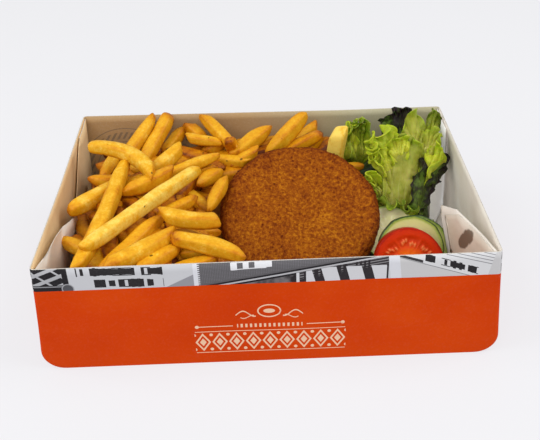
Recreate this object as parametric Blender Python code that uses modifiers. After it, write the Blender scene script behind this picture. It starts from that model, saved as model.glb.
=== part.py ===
"""Breaded fish patty with chips and salad in a folded board tray, in metres, +Z up.

The origin is the centre of the tray's base. X runs along the tray's long side, and the low-X half
holds the chips. The front wall, at low Y, is the one that carries the print.
"""

import math
import random

import bmesh
import bpy
from mathutils import Matrix, Vector, noise

MM = 0.001

# Tray: one sheet of board, folded up into four walls with loose corner webs inside
RIM_LENGTH = 0.250
RIM_DEPTH = 0.175
TRAY_HEIGHT = 0.0705
BASE_SPREAD = 0.006  # how far each end wall leans out from the rim down to the base
FOLD_RADIUS = 0.012  # how round each end wall turns under into the base
FOLD_STEPS = 5
BOARD = 0.0006
CORNER = 0.0025
CORNER_STEPS = 3

# Corner webs: (end of the tray, length along the rim, lean off the end wall in degrees)
FRONT_WEBS = ((-1, 0.032, 17), (1, 0.060, 17))
WEB_THICK = 0.0011
WEB_SINK = 0.0008
WEB_HEIGHT = 0.040
WEB_ROOTS = (0.0028, 0.0017)  # how far the web runs into the front wall, at its top and bottom

GAP = 0.0004  # air kept between pieces that lie on each other
ROUND_STEPS = 36
FLOOR = BOARD + GAP

# Patty: a round breaded cake that leans on the heap
PATTY_RADIUS = 0.0515
PATTY_THICK = 0.014
PATTY_CENTRE = Vector((0.0215, 0.000, 0.040))
PATTY_TILT = 30.0
PATTY_CRAG = 0.0007

# Slices: name, centre, radius, thickness, tilt in degrees
CUCUMBER_SLICES = (
    ("cucumber_front", (0.0863, -0.0376, 0.0390), 0.0195, 0.0045, 60),
    ("cucumber_behind", (0.0900, -0.0334, 0.0362), 0.0195, 0.0045, 60),
    ("cucumber_back", (0.0790, -0.0012, 0.0250), 0.0190, 0.0045, 33),
)
TOMATO = ("tomato", (0.0836, -0.0475, 0.0361), 0.0210, 0.0090, 60)

# Chips that show, in millimetres: both ends of the middle line, thickness, and sideways bend.
CHIPS = (
    # the long ones on top at the left
    ((-102, -64, 66), (-41, 10, 72), 9.0, 0),
    ((-104, -75, 60), (-88, 27, 70), 9.6, -2),
    ((-112, 33, 78), (-68, 4, 70), 10.2, 9),
    ((-61, -35, 71), (-26, -43, 68), 10.2, -4),
    # along the back wall, tips above the rim
    ((-94, 44, 58), (-74, 77, 78), 9.7, 0),
    ((-80, 44, 58), (-64, 79, 77), 10.1, 0),
    ((-70, 64, 54), (-54, 81, 64), 8.2, 0),
    ((-52, 82, 66), (-38, 64, 58), 9.2, 0),
    ((-42, 80, 74), (-18, 52, 62), 9.4, 0),
    ((-52, 65, 66), (-28, 56, 65), 7.1, 0),
    ((-22, 51, 70), (-20, 66, 50), 8.8, 0),
    ((-20, 50, 57), (5, 69, 69), 10.2, 0),
    ((-8, 60, 53), (10, 71, 59), 8.2, 0),
    # middle of the heap
    ((-40, 60, 56), (-26, 63, 62), 8.2, 0),
    ((-76, 26, 57), (-53, 43, 70), 9.8, 0),
    ((-66, 24, 58), (-28, 34, 68), 7.7, 2),
    ((-34, 46, 58), (-9, 43, 57), 7.7, 0),
    ((-34, 45, 49), (-14, 43, 49), 7.6, 0),
    ((-20, 42, 56), (-3, 50, 62), 8.0, 0),
    ((-44, 31, 57), (-31, 35, 59), 7.1, 0),
    ((-42, 16, 56), (-28, 30, 59), 9.2, 0),
    ((-34, -10, 54), (-25, 18, 60), 8.6, 0),
    ((-88, -3, 65), (-57, 14, 69), 8.8, -2),
    ((-96, 6, 55), (-58, -3, 55), 9.6, 0),
    ((-95, 46, 55), (-72, 35, 56), 9.2, 0),
    ((-92, 11, 58), (-74, 19, 62), 7.1, 0),
    ((-64, -24, 58), (-41, -11, 64), 8.2, 0),
    ((-50, 22, 48), (-36, -4, 48), 8.6, 0),
    ((-44, -27, 46), (-28, -22, 46), 8.6, 0),
    # left side
    ((-113, 21, 61), (-88, 26, 56), 8.2, 0),
    ((-119, -16, 61), (-84, 22, 60), 10.2, 0),
    ((-106, 28, 57), (-97, 52, 62), 8.6, 0),
    ((-97, -34, 51), (-90, -2, 58), 8.6, 0),
    ((-120, -38, 55), (-92, -52, 48), 9.6, 0),
    ((-109, -45, 46), (-88, -66, 50), 11.3, 0),
    # along the front wall
    ((-92, -70, 55), (-60, -32, 65), 10.2, 0),
    ((-88, -76, 61), (-51, -52, 66), 10.7, 0),
    ((-52, -59, 68), (-13, -71, 61), 9.0, 2),
    ((-48, -58, 57), (-21, -58, 59), 7.6, 0),
    ((-72, -76, 57), (-47, -59, 62), 9.6, 0),
    ((-57, -73, 54), (-27, -66, 58), 8.6, 0),
    ((-55, -39, 56), (-36, -48, 56), 9.6, 0),
    # low in front of the patty
    ((-30, -72, 19), (24, -64, 19), 9.3, 0),
    ((4, -76, 18), (54, -70, 19), 9.6, 0),
    ((-24, -54, 20), (-6, -80, 20), 9.1, 0),
    ((26, -62, 17), (56, -57, 17), 8.9, 0),
    # behind the patty
    ((3, 49, 58), (30, 66, 79), 10.7, 0),
    ((12, 50, 57), (40, 61, 67), 8.8, 0),
    ((28, 55, 54), (41, 64, 62), 7.1, 0),
    ((22, 66, 54), (38, 77, 66), 7.7, 0),
    ((46, 50, 30), (52, 47, 76), 12.4, 0),
    ((48, 46, 46), (67, 39, 52), 7.1, 0),
)

# Chips that only fill gaps between those, laid by a rule over the core
FILLERS = 15
FILLER_SEED = 7
FILLER_LENGTH = (0.044, 0.062)
FILLER_THICK = (0.0100, 0.0118)
FILLER_REGION = ((-0.108, -0.064), (-0.026, 0.070))
FILLER_LEVEL = 0.0520

# Cores: the solid bulk under what shows, as (low corner, high corner, crown height)
CHIP_CORE_LEFT = ((-0.110, -0.081), (-0.016, 0.083), 0.055)
CHIP_CORE_BED = ((-0.028, -0.036), (0.050, 0.052), 0.050)
CHIP_CORE_BACK = ((-0.030, 0.034), (0.036, 0.083), 0.058)
CHIP_CORE_FRONT = ((-0.026, -0.083), (0.058, -0.020), 0.018)
SALAD_CORE_FRONT = ((0.0672, -0.062), (0.112, 0.040), 0.027)
SALAD_CORE_BACK = ((0.0672, 0.020), (0.115, 0.082), 0.040)
SALAD_CORE_LEFT = ((0.0370, 0.0560), (0.100, 0.081), 0.044)

MOUND_CELLS = 6

# Leaves, in millimetres. Each is a fan: its base, the left, top and right ends of its margin, half
# the width of its base, how far it bulges to the front, ruffle height and how many ruffles.
LEAVES = (
    ("body", (86, 16, 32), (78, 42, 60), (94, 50, 67), (107, 43, 60), 11, 6, 1.6, 5),
    ("cluster", (86, 33, 35), (69, 38, 66), (77, 46, 76), (89, 54, 71), 6, 3, 2.6, 6),
    ("lobe", (98, 42, 36), (93, 57, 70), (102, 63, 80), (110, 60, 70), 6, 3, 1.6, 4),
    ("star", (103, 26, 28), (110, 44, 66), (119, 38, 62), (112, 29, 53), 4, 2, 2.2, 5),
    ("curls", (84, 22, 30), (70, 24, 56), (69, 30, 60), (72, 38, 61), 4, 2, 2.0, 5),
    ("dark_top", (92, 62, 34), (80, 71, 68), (91, 76, 75), (102, 76, 75), 6, 2, 1.8, 4),
    ("olive_top", (110, 56, 32), (112, 70, 69), (119, 75, 75), (124, 69, 65), 5, 2, 1.6, 4),
    ("dark_right", (95, 9, 22), (94, 20, 48), (107, 38, 58), (122, 45, 54), 5, 4, 1.8, 5),
    ("dark_side", (97, 8, 20), (122, 45, 52), (118, 32, 44), (103, 13, 32), 4, 2, 1.6, 5),
    ("low", (88, 18, 22), (74, 14, 40), (82, 14, 40), (94, 10, 36), 6, 1, 1.0, 6),
    ("far_left", (66, 61, 38), (57, 57, 54), (61, 65, 70), (73, 66, 71), 6, 2, 2.2, 5),
    ("small", (60, 64, 34), (57, 63, 53), (60, 67, 64), (66, 66, 59), 4, 1, 1.2, 3),
)
LEAF_THICK = 0.0014
LEAF_ROWS = 6
LEAF_COLUMNS = 8


def clear_scene():
    for obj in list(bpy.data.objects):
        bpy.data.objects.remove(obj, do_unlink=True)


def collection(name):
    made = bpy.data.collections.new(name)
    bpy.context.scene.collection.children.link(made)
    return made


def material(name, colour, roughness):
    made = bpy.data.materials.new(name)
    made.use_nodes = True
    shader = made.node_tree.nodes["Principled BSDF"]
    shader.inputs["Base Color"].default_value = (*colour, 1)
    shader.inputs["Roughness"].default_value = roughness
    return made


def object_from(bm, name, home):
    """A new object that holds the bmesh, with its faces turned outwards."""
    bmesh.ops.recalc_face_normals(bm, faces=bm.faces)
    mesh = bpy.data.meshes.new(name)
    bm.to_mesh(mesh)
    bm.free()
    made = bpy.data.objects.new(name, mesh)
    home.objects.link(made)
    return made


def apply_modifiers(obj):
    """Replaces the object's mesh with its evaluated one."""
    bpy.context.view_layer.update()
    evaluated = obj.evaluated_get(bpy.context.evaluated_depsgraph_get())
    mesh = bpy.data.meshes.new_from_object(evaluated)
    obj.modifiers.clear()
    obj.data = mesh


def boolean(obj, operand, operation, solver="MANIFOLD"):
    """Joins or cuts obj with a collection of closed meshes, and applies it."""
    modifier = obj.modifiers.new(operation.lower(), "BOOLEAN")
    modifier.operation = operation
    modifier.operand_type = "COLLECTION"
    modifier.collection = operand
    modifier.solver = solver
    apply_modifiers(obj)


def empty_collection(group):
    for obj in list(group.objects):
        bpy.data.objects.remove(obj, do_unlink=True)


def keep_largest_shell(obj):
    """Drops the loose scraps that a cut leaves, and keeps the shell with most vertices."""
    bm = bmesh.new()
    bm.from_mesh(obj.data)
    unseen = set(bm.verts)
    shells = []
    while unseen:
        shell = set()
        front = [unseen.pop()]
        while front:
            vert = front.pop()
            shell.add(vert)
            for edge in vert.link_edges:
                other = edge.other_vert(vert)
                if other in unseen:
                    unseen.discard(other)
                    front.append(other)
        shells.append(shell)
    largest = max(shells, key=len)
    scraps = [vert for shell in shells if shell is not largest for vert in shell]
    bmesh.ops.delete(bm, geom=scraps, context="VERTS")
    bm.to_mesh(obj.data)
    bm.free()


def half_length(z):
    """Half the tray's length at height z: the end walls lean out and turn under at the bottom."""
    under = max(FOLD_RADIUS - z, 0)
    turned_in = FOLD_RADIUS - math.sqrt(FOLD_RADIUS**2 - under**2)
    return RIM_LENGTH / 2 + BASE_SPREAD * (1 - z / TRAY_HEIGHT) - turned_in


def rounded_outline(half_x, half_y, radius):
    """Points round a rectangle with round corners, from the front right corner on."""
    points = []
    corners = ((1, -1, -90), (1, 1, 0), (-1, 1, 90), (-1, -1, 180))
    for sign_x, sign_y, start in corners:
        for step in range(CORNER_STEPS + 1):
            angle = math.radians(start + 90 * step / CORNER_STEPS)
            x = sign_x * (half_x - radius) + radius * math.cos(angle)
            y = sign_y * (half_y - radius) + radius * math.sin(angle)
            points.append((x, y))
    return points


def tray(home):
    """The folded sheet: an open shell lofted from the base round the end folds to the rim."""
    turns = [math.pi / 2 * step / FOLD_STEPS for step in range(FOLD_STEPS + 1)]
    heights = [FOLD_RADIUS * (1 - math.cos(turn)) for turn in turns] + [TRAY_HEIGHT]
    bm = bmesh.new()
    rings = []
    for z in heights:
        outline = rounded_outline(half_length(z), RIM_DEPTH / 2, CORNER)
        rings.append([bm.verts.new((x, y, z)) for x, y in outline])
    count = len(rings[0])
    for low, high in zip(rings, rings[1:]):
        for i in range(count):
            j = (i + 1) % count
            bm.faces.new((low[i], low[j], high[j], high[i]))
    bm.faces.new(rings[0])
    made = object_from(bm, "tray", home)
    shell = made.modifiers.new("board", "SOLIDIFY")
    shell.thickness = BOARD
    shell.offset = -1
    shell.use_even_offset = True
    apply_modifiers(made)
    return made


def corner_web(end, length, lean, home):
    """One loose web of board: a panel that leaves the front corner and narrows as it goes down."""
    bm = bmesh.new()
    root_top, root_bottom = WEB_ROOTS
    outline = (
        (-root_top, -WEB_SINK - 0.002),
        (length * 0.70, -WEB_SINK),
        (length, -WEB_SINK - length * 0.13),
        (length * 0.98, -WEB_SINK - length * 0.26),
        (length * 0.74, -WEB_HEIGHT),
        (-root_bottom, -WEB_HEIGHT - 0.008),
    )
    front = [bm.verts.new((u, -WEB_THICK / 2, v)) for u, v in outline]
    back = [bm.verts.new((u, WEB_THICK / 2, v)) for u, v in outline]
    bm.faces.new(front)
    bm.faces.new(reversed(back))
    for i in range(len(outline)):
        j = (i + 1) % len(outline)
        bm.faces.new((front[i], front[j], back[j], back[i]))
    turn = Matrix.Rotation(math.radians(90 + end * lean), 4, "Z")
    corner = Vector((end * (RIM_LENGTH / 2 - 0.003), -RIM_DEPTH / 2 + 0.0030, TRAY_HEIGHT))
    bmesh.ops.transform(bm, matrix=Matrix.Translation(corner) @ turn, verts=bm.verts)
    return object_from(bm, f"web_{end}", home)


def chip(start, end, thick, bend, home, name):
    """One fried chip: a square bar with blunt edges, its ends a little thinner, bent sideways."""
    start, end = Vector(start), Vector(end)
    along = end - start
    length = along.length
    bm = bmesh.new()
    bmesh.ops.create_cube(bm, size=1)
    bmesh.ops.scale(bm, vec=(length, thick, thick), verts=bm.verts)
    bmesh.ops.bevel(bm, geom=bm.edges[:], offset=thick * 0.24, segments=1, affect="EDGES")
    cuts = 3 if bend else 0
    for i in range(1, cuts + 1):
        place = Vector((length * (i / (cuts + 1) - 0.5), 0, 0))
        parts = bm.verts[:] + bm.edges[:] + bm.faces[:]
        bmesh.ops.bisect_plane(bm, geom=parts, plane_co=place, plane_no=(1, 0, 0))
    for vert in bm.verts:
        share = 2 * vert.co.x / length
        slim = 1 - 0.16 * abs(share) ** 3
        vert.co.y = vert.co.y * slim + bend * (1 - share * share)
        vert.co.z *= slim
    heading = along.to_track_quat("X", "Z").to_matrix().to_4x4()
    middle = Matrix.Translation((start + end) / 2)
    bmesh.ops.transform(bm, matrix=middle @ heading, verts=bm.verts)
    return object_from(bm, name, home)


def filler_chips(home):
    """Chips under those that show: a seeded spread of them over the core, nearly level."""
    draw = random.Random(FILLER_SEED)
    (low_x, low_y), (high_x, high_y) = FILLER_REGION
    columns = 3
    rows = FILLERS // columns
    for i in range(FILLERS):
        column, row = i % columns, i // columns
        x = low_x + (high_x - low_x) * (column + draw.uniform(0.3, 0.7)) / columns
        y = low_y + (high_y - low_y) * (row + draw.uniform(0.3, 0.7)) / rows
        heading = math.radians(draw.uniform(20, 75) * draw.choice((1, 1, -1)))
        half = draw.uniform(*FILLER_LENGTH) / 2
        step = Vector((math.cos(heading) * half, math.sin(heading) * half, draw.uniform(-4, 4) * MM))
        middle = Vector((x, y, FILLER_LEVEL))
        start, end = middle - step, middle + step
        chip(start, end, draw.uniform(*FILLER_THICK), 0, home, f"filler_{i}")


def mound(name, low, high, crown, lump, home):
    """A lumpy mound that stands on the tray's floor: a grid with a raised middle, extruded down."""
    size_x, size_y = high[0] - low[0], high[1] - low[1]
    bm = bmesh.new()
    bmesh.ops.create_grid(bm, x_segments=MOUND_CELLS, y_segments=MOUND_CELLS, size=0.5)
    for vert in bm.verts:
        across, deep = 2 * vert.co.x, 2 * vert.co.y
        fall = (1 - abs(across) ** 5) * (1 - abs(deep) ** 5)
        vert.co.x = low[0] + size_x * (vert.co.x + 0.5)
        vert.co.y = low[1] + size_y * (vert.co.y + 0.5)
        rise = noise.noise(Vector((vert.co.x, vert.co.y, 0)) / (18 * MM)) * lump
        vert.co.z = crown * (0.62 + 0.38 * fall) + rise * fall
    top = bm.faces[:]
    extruded = bmesh.ops.extrude_face_region(bm, geom=top)
    for part in extruded["geom"]:
        if isinstance(part, bmesh.types.BMVert):
            part.co.z = FLOOR
    return object_from(bm, name, home)


def tilted(centre, tilt):
    """The frame of a disc whose back edge is raised by tilt degrees, as a matrix."""
    return Matrix.Translation(Vector(centre)) @ Matrix.Rotation(math.radians(tilt), 4, "X")


def disc(bm, radius, thick, bevel, segments, bevel_segments):
    """A disc about Z with both rims rounded off."""
    bmesh.ops.create_cone(
        bm, cap_ends=True, segments=segments, radius1=radius, radius2=radius, depth=thick
    )
    rims = [edge for edge in bm.edges if abs(edge.verts[0].co.z - edge.verts[1].co.z) < MM * 0.01]
    bmesh.ops.bevel(bm, geom=rims, offset=bevel, segments=bevel_segments, affect="EDGES")


def patty(home):
    """The breaded cake: a rounded disc whose faces are split into rings and roughened into crags."""
    bm = bmesh.new()
    disc(bm, PATTY_RADIUS, PATTY_THICK, PATTY_THICK * 0.42, ROUND_STEPS, 2)
    top = max(bm.faces, key=lambda face: face.calc_center_median().z)
    for _ in range(3):
        bmesh.ops.inset_region(bm, faces=[top], thickness=PATTY_RADIUS * 0.20)
    for vert in bm.verts:
        spot = vert.co / (7 * MM)
        push = noise.noise(spot) + 0.6 * noise.noise(spot * 2.3)
        out = Vector((vert.co.x * 0.3, vert.co.y * 0.3, vert.co.z * 3)).normalized()
        vert.co += out * push * PATTY_CRAG
    bmesh.ops.transform(bm, matrix=tilted(PATTY_CENTRE, PATTY_TILT), verts=bm.verts)
    return object_from(bm, "patty", home)


def cucumber(name, centre, radius, thick, tilt, home):
    """A cucumber slice: a disc with a scarcely rounded rind edge."""
    bm = bmesh.new()
    disc(bm, radius, thick, thick * 0.12, ROUND_STEPS, 1)
    for vert in bm.verts:
        angle = math.atan2(vert.co.y, vert.co.x)
        vert.co.x *= 1 + 0.012 * math.cos(9 * angle)
        vert.co.y *= 1 + 0.012 * math.cos(9 * angle)
    bmesh.ops.transform(bm, matrix=tilted(centre, tilt), verts=bm.verts)
    return object_from(bm, name, home)


def tomato(home):
    """A thick tomato slice: the cut face sinks a little into the seed chambers round the core."""
    name, centre, radius, thick, tilt = TOMATO
    bm = bmesh.new()
    disc(bm, radius, thick, thick * 0.10, ROUND_STEPS, 1)
    top = max(bm.faces, key=lambda face: face.calc_center_median().z)
    for width in (0.18, 0.20, 0.24):
        bmesh.ops.inset_region(bm, faces=[top], thickness=radius * width)
    for vert in bm.verts:
        reach = math.hypot(vert.co.x, vert.co.y) / radius
        angle = math.atan2(vert.co.y, vert.co.x)
        chamber = math.exp(-(((reach - 0.58) / 0.17) ** 2)) * (0.6 + 0.4 * math.cos(5 * angle))
        if vert.co.z > 0:
            vert.co.z -= 0.7 * MM * chamber
    bmesh.ops.transform(bm, matrix=tilted(centre, tilt), verts=bm.verts)
    return object_from(bm, name, home)


def held_inside(point):
    """The point, moved in from the walls if a leaf would pass through them there."""
    if point.z > TRAY_HEIGHT + 2 * MM:
        return point
    room = BOARD + LEAF_THICK / 2 + 2 * GAP
    limit_x = half_length(min(point.z, TRAY_HEIGHT)) - room
    limit_y = RIM_DEPTH / 2 - room
    return Vector((min(point.x, limit_x), min(point.y, limit_y), point.z))


def leaf(name, base, left, top, right, root, bulge, ruffle, waves, home):
    """One lettuce leaf: a fan of rays from its base to its margin, wavier towards the margin."""
    base, left, top, right = (Vector(point) * MM for point in (base, left, top, right))
    control = 2 * top - (left + right) / 2
    across = (right - left).normalized()
    front = across.cross(top - base).normalized()
    bm = bmesh.new()
    grid = []
    for row in range(LEAF_ROWS + 1):
        t = row / LEAF_ROWS
        line = []
        for column in range(LEAF_COLUMNS):
            share = 2 * column / (LEAF_COLUMNS - 1) - 1
            u = (share + 1) / 2
            end = left * (1 - u) ** 2 + control * 2 * u * (1 - u) + right * u * u
            start = base + across * share * root * MM
            edge = (1 - (1 - abs(share) ** 4) * (1 - t**3)) * min(t * 2.5, 1)
            round_margin = math.atan2(t + 0.05, share)
            lift = 1.2 * ruffle * math.sin(1.3 * waves * round_margin + len(name)) * edge
            bow = bulge * math.sin(math.pi * t) * (1 - 0.5 * share * share)
            place = start.lerp(end, t) + front * (lift + bow) * MM
            line.append(bm.verts.new(held_inside(place)))
        grid.append(line)
    for low, high in zip(grid, grid[1:]):
        for i in range(LEAF_COLUMNS - 1):
            bm.faces.new((low[i], low[i + 1], high[i + 1], high[i]))
    bmesh.ops.triangulate(bm, faces=bm.faces)
    made = object_from(bm, f"leaf_{name}", home)
    sheet = made.modifiers.new("thickness", "SOLIDIFY")
    sheet.thickness = LEAF_THICK
    sheet.offset = 0
    apply_modifiers(made)
    return made


def patty_room(home):
    """What the patty and the space above it take away from the heap under it."""
    above = 14 * MM
    bm = bmesh.new()
    reach = PATTY_RADIUS + GAP + PATTY_CRAG
    low = -PATTY_THICK / 2 - GAP - PATTY_CRAG
    disc(bm, reach, PATTY_THICK / 2 + above - low, 1.5 * MM, ROUND_STEPS, 1)
    middle = (PATTY_THICK / 2 + above + low) / 2
    place = tilted(PATTY_CENTRE, PATTY_TILT) @ Matrix.Translation((0, 0, middle))
    bmesh.ops.transform(bm, matrix=place, verts=bm.verts)
    return object_from(bm, "patty_room", home)


def slice_room(name, centre, radius, thick, tilt, home):
    """A slice's own space with the gap round it."""
    bm = bmesh.new()
    disc(bm, radius * 1.012 + GAP, thick + 2 * GAP, 0.1 * MM, ROUND_STEPS, 1)
    bmesh.ops.transform(bm, matrix=tilted(centre, tilt), verts=bm.verts)
    return object_from(bm, f"room_{name}", home)


def chips_near_salad(home):
    """The room of every chip that reaches over to the salad, with the gap round it."""
    for i, (start, end, thick, bend) in enumerate(CHIPS):
        if max(start[0], end[0]) > 25:
            start, end = Vector(start) * MM, Vector(end) * MM
            overrun = (end - start).normalized() * GAP
            chip(start - overrun, end + overrun, thick * MM + 2 * GAP, bend * MM, home, f"room_{i}")


def tray_with_webs(home, scratch):
    made = tray(home)
    for end, length, lean in FRONT_WEBS:
        corner_web(end, length, lean, scratch)
    boolean(made, scratch, "UNION", "EXACT")
    empty_collection(scratch)
    return made


def chip_heap(home, scratch, rooms):
    """All the chips as one solid: three mounds, the fillers and every chip that shows."""
    made = mound("chips", *CHIP_CORE_LEFT, 5 * MM, home)
    mound("core_bed", *CHIP_CORE_BED, 2 * MM, scratch)
    mound("core_front", *CHIP_CORE_FRONT, 2 * MM, scratch)
    mound("core_back", *CHIP_CORE_BACK, 2 * MM, scratch)
    filler_chips(scratch)
    for i, (start, end, thick, bend) in enumerate(CHIPS):
        start, end = Vector(start) * MM, Vector(end) * MM
        chip(start, end, thick * MM, bend * MM, scratch, f"chip_{i}")
    boolean(made, scratch, "UNION")
    empty_collection(scratch)
    boolean(made, rooms, "DIFFERENCE")
    keep_largest_shell(made)
    return made


def salad(home, scratch, rooms):
    """The lettuce as one solid: low mounds with every leaf that shows grown into them."""
    made = mound("lettuce", *SALAD_CORE_BACK, 5 * MM, home)
    mound("core_front", *SALAD_CORE_FRONT, 4 * MM, scratch)
    mound("core_left", *SALAD_CORE_LEFT, 3 * MM, scratch)
    for values in LEAVES:
        leaf(*values, scratch)
    boolean(made, scratch, "UNION")
    empty_collection(scratch)
    boolean(made, rooms, "DIFFERENCE")
    keep_largest_shell(made)
    return made


def finish(obj, colour, roughness):
    obj.data.materials.clear()
    obj.data.materials.append(material(obj.name, colour, roughness))
    obj.data.shade_smooth()
    obj.data.set_sharp_from_angle(angle=math.radians(35))


def main():
    clear_scene()
    home = collection("fish_and_chips_in_tray")
    scratch = collection("joined_pieces")
    rooms = collection("rooms")
    patty_room(rooms)
    for values in (*CUCUMBER_SLICES, TOMATO):
        slice_room(*values, rooms)
    board = tray_with_webs(home, scratch)
    chips = chip_heap(home, scratch, rooms)
    chips_near_salad(rooms)
    lettuce = salad(home, scratch, rooms)
    empty_collection(rooms)
    finish(board, (0.80, 0.22, 0.05), 0.45)
    finish(chips, (0.85, 0.55, 0.12), 0.5)
    finish(lettuce, (0.45, 0.55, 0.12), 0.45)
    finish(patty(home), (0.55, 0.25, 0.05), 0.7)
    for values in CUCUMBER_SLICES:
        finish(cucumber(*values, home), (0.70, 0.72, 0.42), 0.35)
    finish(tomato(home), (0.75, 0.12, 0.05), 0.3)


main()
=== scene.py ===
# %% [markdown]
# # A breaded fish patty with chips and salad in a printed board tray
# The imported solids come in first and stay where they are. Every piece below is then made at true
# size in the same space, so nothing has to be fitted by eye afterwards. The order is the tray, the
# chips, the patty, the slices and the lettuce, and at the end the floor, the lights and the camera.

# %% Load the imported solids
import math
import random

import bmesh
import bpy
import numpy as np
from mathutils import Matrix, Vector, noise


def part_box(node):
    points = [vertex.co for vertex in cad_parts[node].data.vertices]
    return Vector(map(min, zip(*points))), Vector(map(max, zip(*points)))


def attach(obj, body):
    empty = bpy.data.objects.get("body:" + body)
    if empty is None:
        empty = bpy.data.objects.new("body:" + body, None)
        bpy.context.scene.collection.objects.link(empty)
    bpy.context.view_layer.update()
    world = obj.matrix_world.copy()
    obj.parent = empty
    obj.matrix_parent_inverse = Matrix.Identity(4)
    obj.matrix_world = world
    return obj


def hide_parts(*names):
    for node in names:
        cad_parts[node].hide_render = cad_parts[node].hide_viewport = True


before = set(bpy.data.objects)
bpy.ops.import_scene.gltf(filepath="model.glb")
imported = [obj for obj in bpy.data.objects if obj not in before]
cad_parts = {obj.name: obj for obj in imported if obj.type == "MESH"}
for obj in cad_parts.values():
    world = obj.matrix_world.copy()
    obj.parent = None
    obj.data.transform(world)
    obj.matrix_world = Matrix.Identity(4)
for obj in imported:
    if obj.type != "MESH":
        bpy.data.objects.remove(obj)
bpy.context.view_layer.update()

MM = 0.001
BODY = "root"
print("solids:", ", ".join(sorted(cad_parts)))

# %% [markdown]
# ## Shader maths
# A material is a graph of nodes, and a long one is hard to read. Wrapping an output socket in a
# small class lets a mask be written as a sum or a product, and each operator adds the Math node
# that it stands for. Colours don't go through Math nodes, which would turn them grey: they are
# mixed. All other nodes come from one method, `add`, that takes the node's type, its settings and
# what goes into its sockets.

# %% A socket that can be calculated with
def feed(tree, socket, value):
    """Links a signal to the socket, or sets the socket to a plain value."""
    if isinstance(value, Signal):
        tree.links.new(value.socket, socket)
    elif isinstance(value, tuple) and len(value) == 3 and socket.type == "RGBA":
        socket.default_value = (*value, 1)
    else:
        socket.default_value = value


class Signal:
    """An output socket of a material. Arithmetic on it adds Math nodes."""

    def __init__(self, tree, socket):
        self.tree = tree
        self.socket = socket

    def math(self, operation, *values):
        node = self.tree.nodes.new("ShaderNodeMath")
        node.operation = operation
        for socket, value in zip(node.inputs, values):
            feed(self.tree, socket, value)
        return Signal(self.tree, node.outputs[0])

    def __add__(self, other):
        return self.math("ADD", self, other)

    def __radd__(self, other):
        return self.math("ADD", other, self)

    def __sub__(self, other):
        return self.math("SUBTRACT", self, other)

    def __rsub__(self, other):
        return self.math("SUBTRACT", other, self)

    def __mul__(self, other):
        return self.math("MULTIPLY", self, other)

    def __rmul__(self, other):
        return self.math("MULTIPLY", other, self)

    def __truediv__(self, other):
        return self.math("DIVIDE", self, other)

    def __pow__(self, other):
        return self.math("POWER", self, other)

    def __gt__(self, other):
        return self.math("GREATER_THAN", self, other)

    def __lt__(self, other):
        return self.math("LESS_THAN", self, other)

    def __abs__(self):
        return self.math("ABSOLUTE", self)

    def wrapped(self, period):
        """The distance from the middle of the nearest of equal steps, from minus to plus half."""
        return self.math("WRAP", self, period / 2, -period / 2)

    def sine(self):
        return self.math("SINE", self)

    def floor(self):
        return self.math("FLOOR", self)

    def clamped(self):
        """The value kept between 0 and 1, as a mask has to be."""
        above = self.math("MAXIMUM", self, 0)
        return above.math("MINIMUM", above, 1)


def either(first, second):
    """One mask laid over the other."""
    return first.math("MAXIMUM", first, second)


def both(first, second):
    """Where two masks overlap."""
    return first * second


print("signals add, subtract, multiply, divide, take powers and compare")

# %% [markdown]
# ### One class for materials
# Every surface here is a Principled shader with some nodes in front of it. A `Finish` holds one
# such material while it is built. What is the same all over the surface is set on the shader when
# the finish is made, and what varies is linked later with `out`. Colours are written as six digits,
# as on a paint chart, and `paint` turns them into the linear values that light is reckoned in.

# %% A material and the one way to add a node to it
def paint(code):
    """A colour as people write it, such as E0A020, in the linear light that shaders use."""
    parts = [int(code[i : i + 2], 16) / 255 for i in (0, 2, 4)]
    return tuple(p / 12.92 if p <= 0.04045 else ((p + 0.055) / 1.055) ** 2.4 for p in parts)


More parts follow.
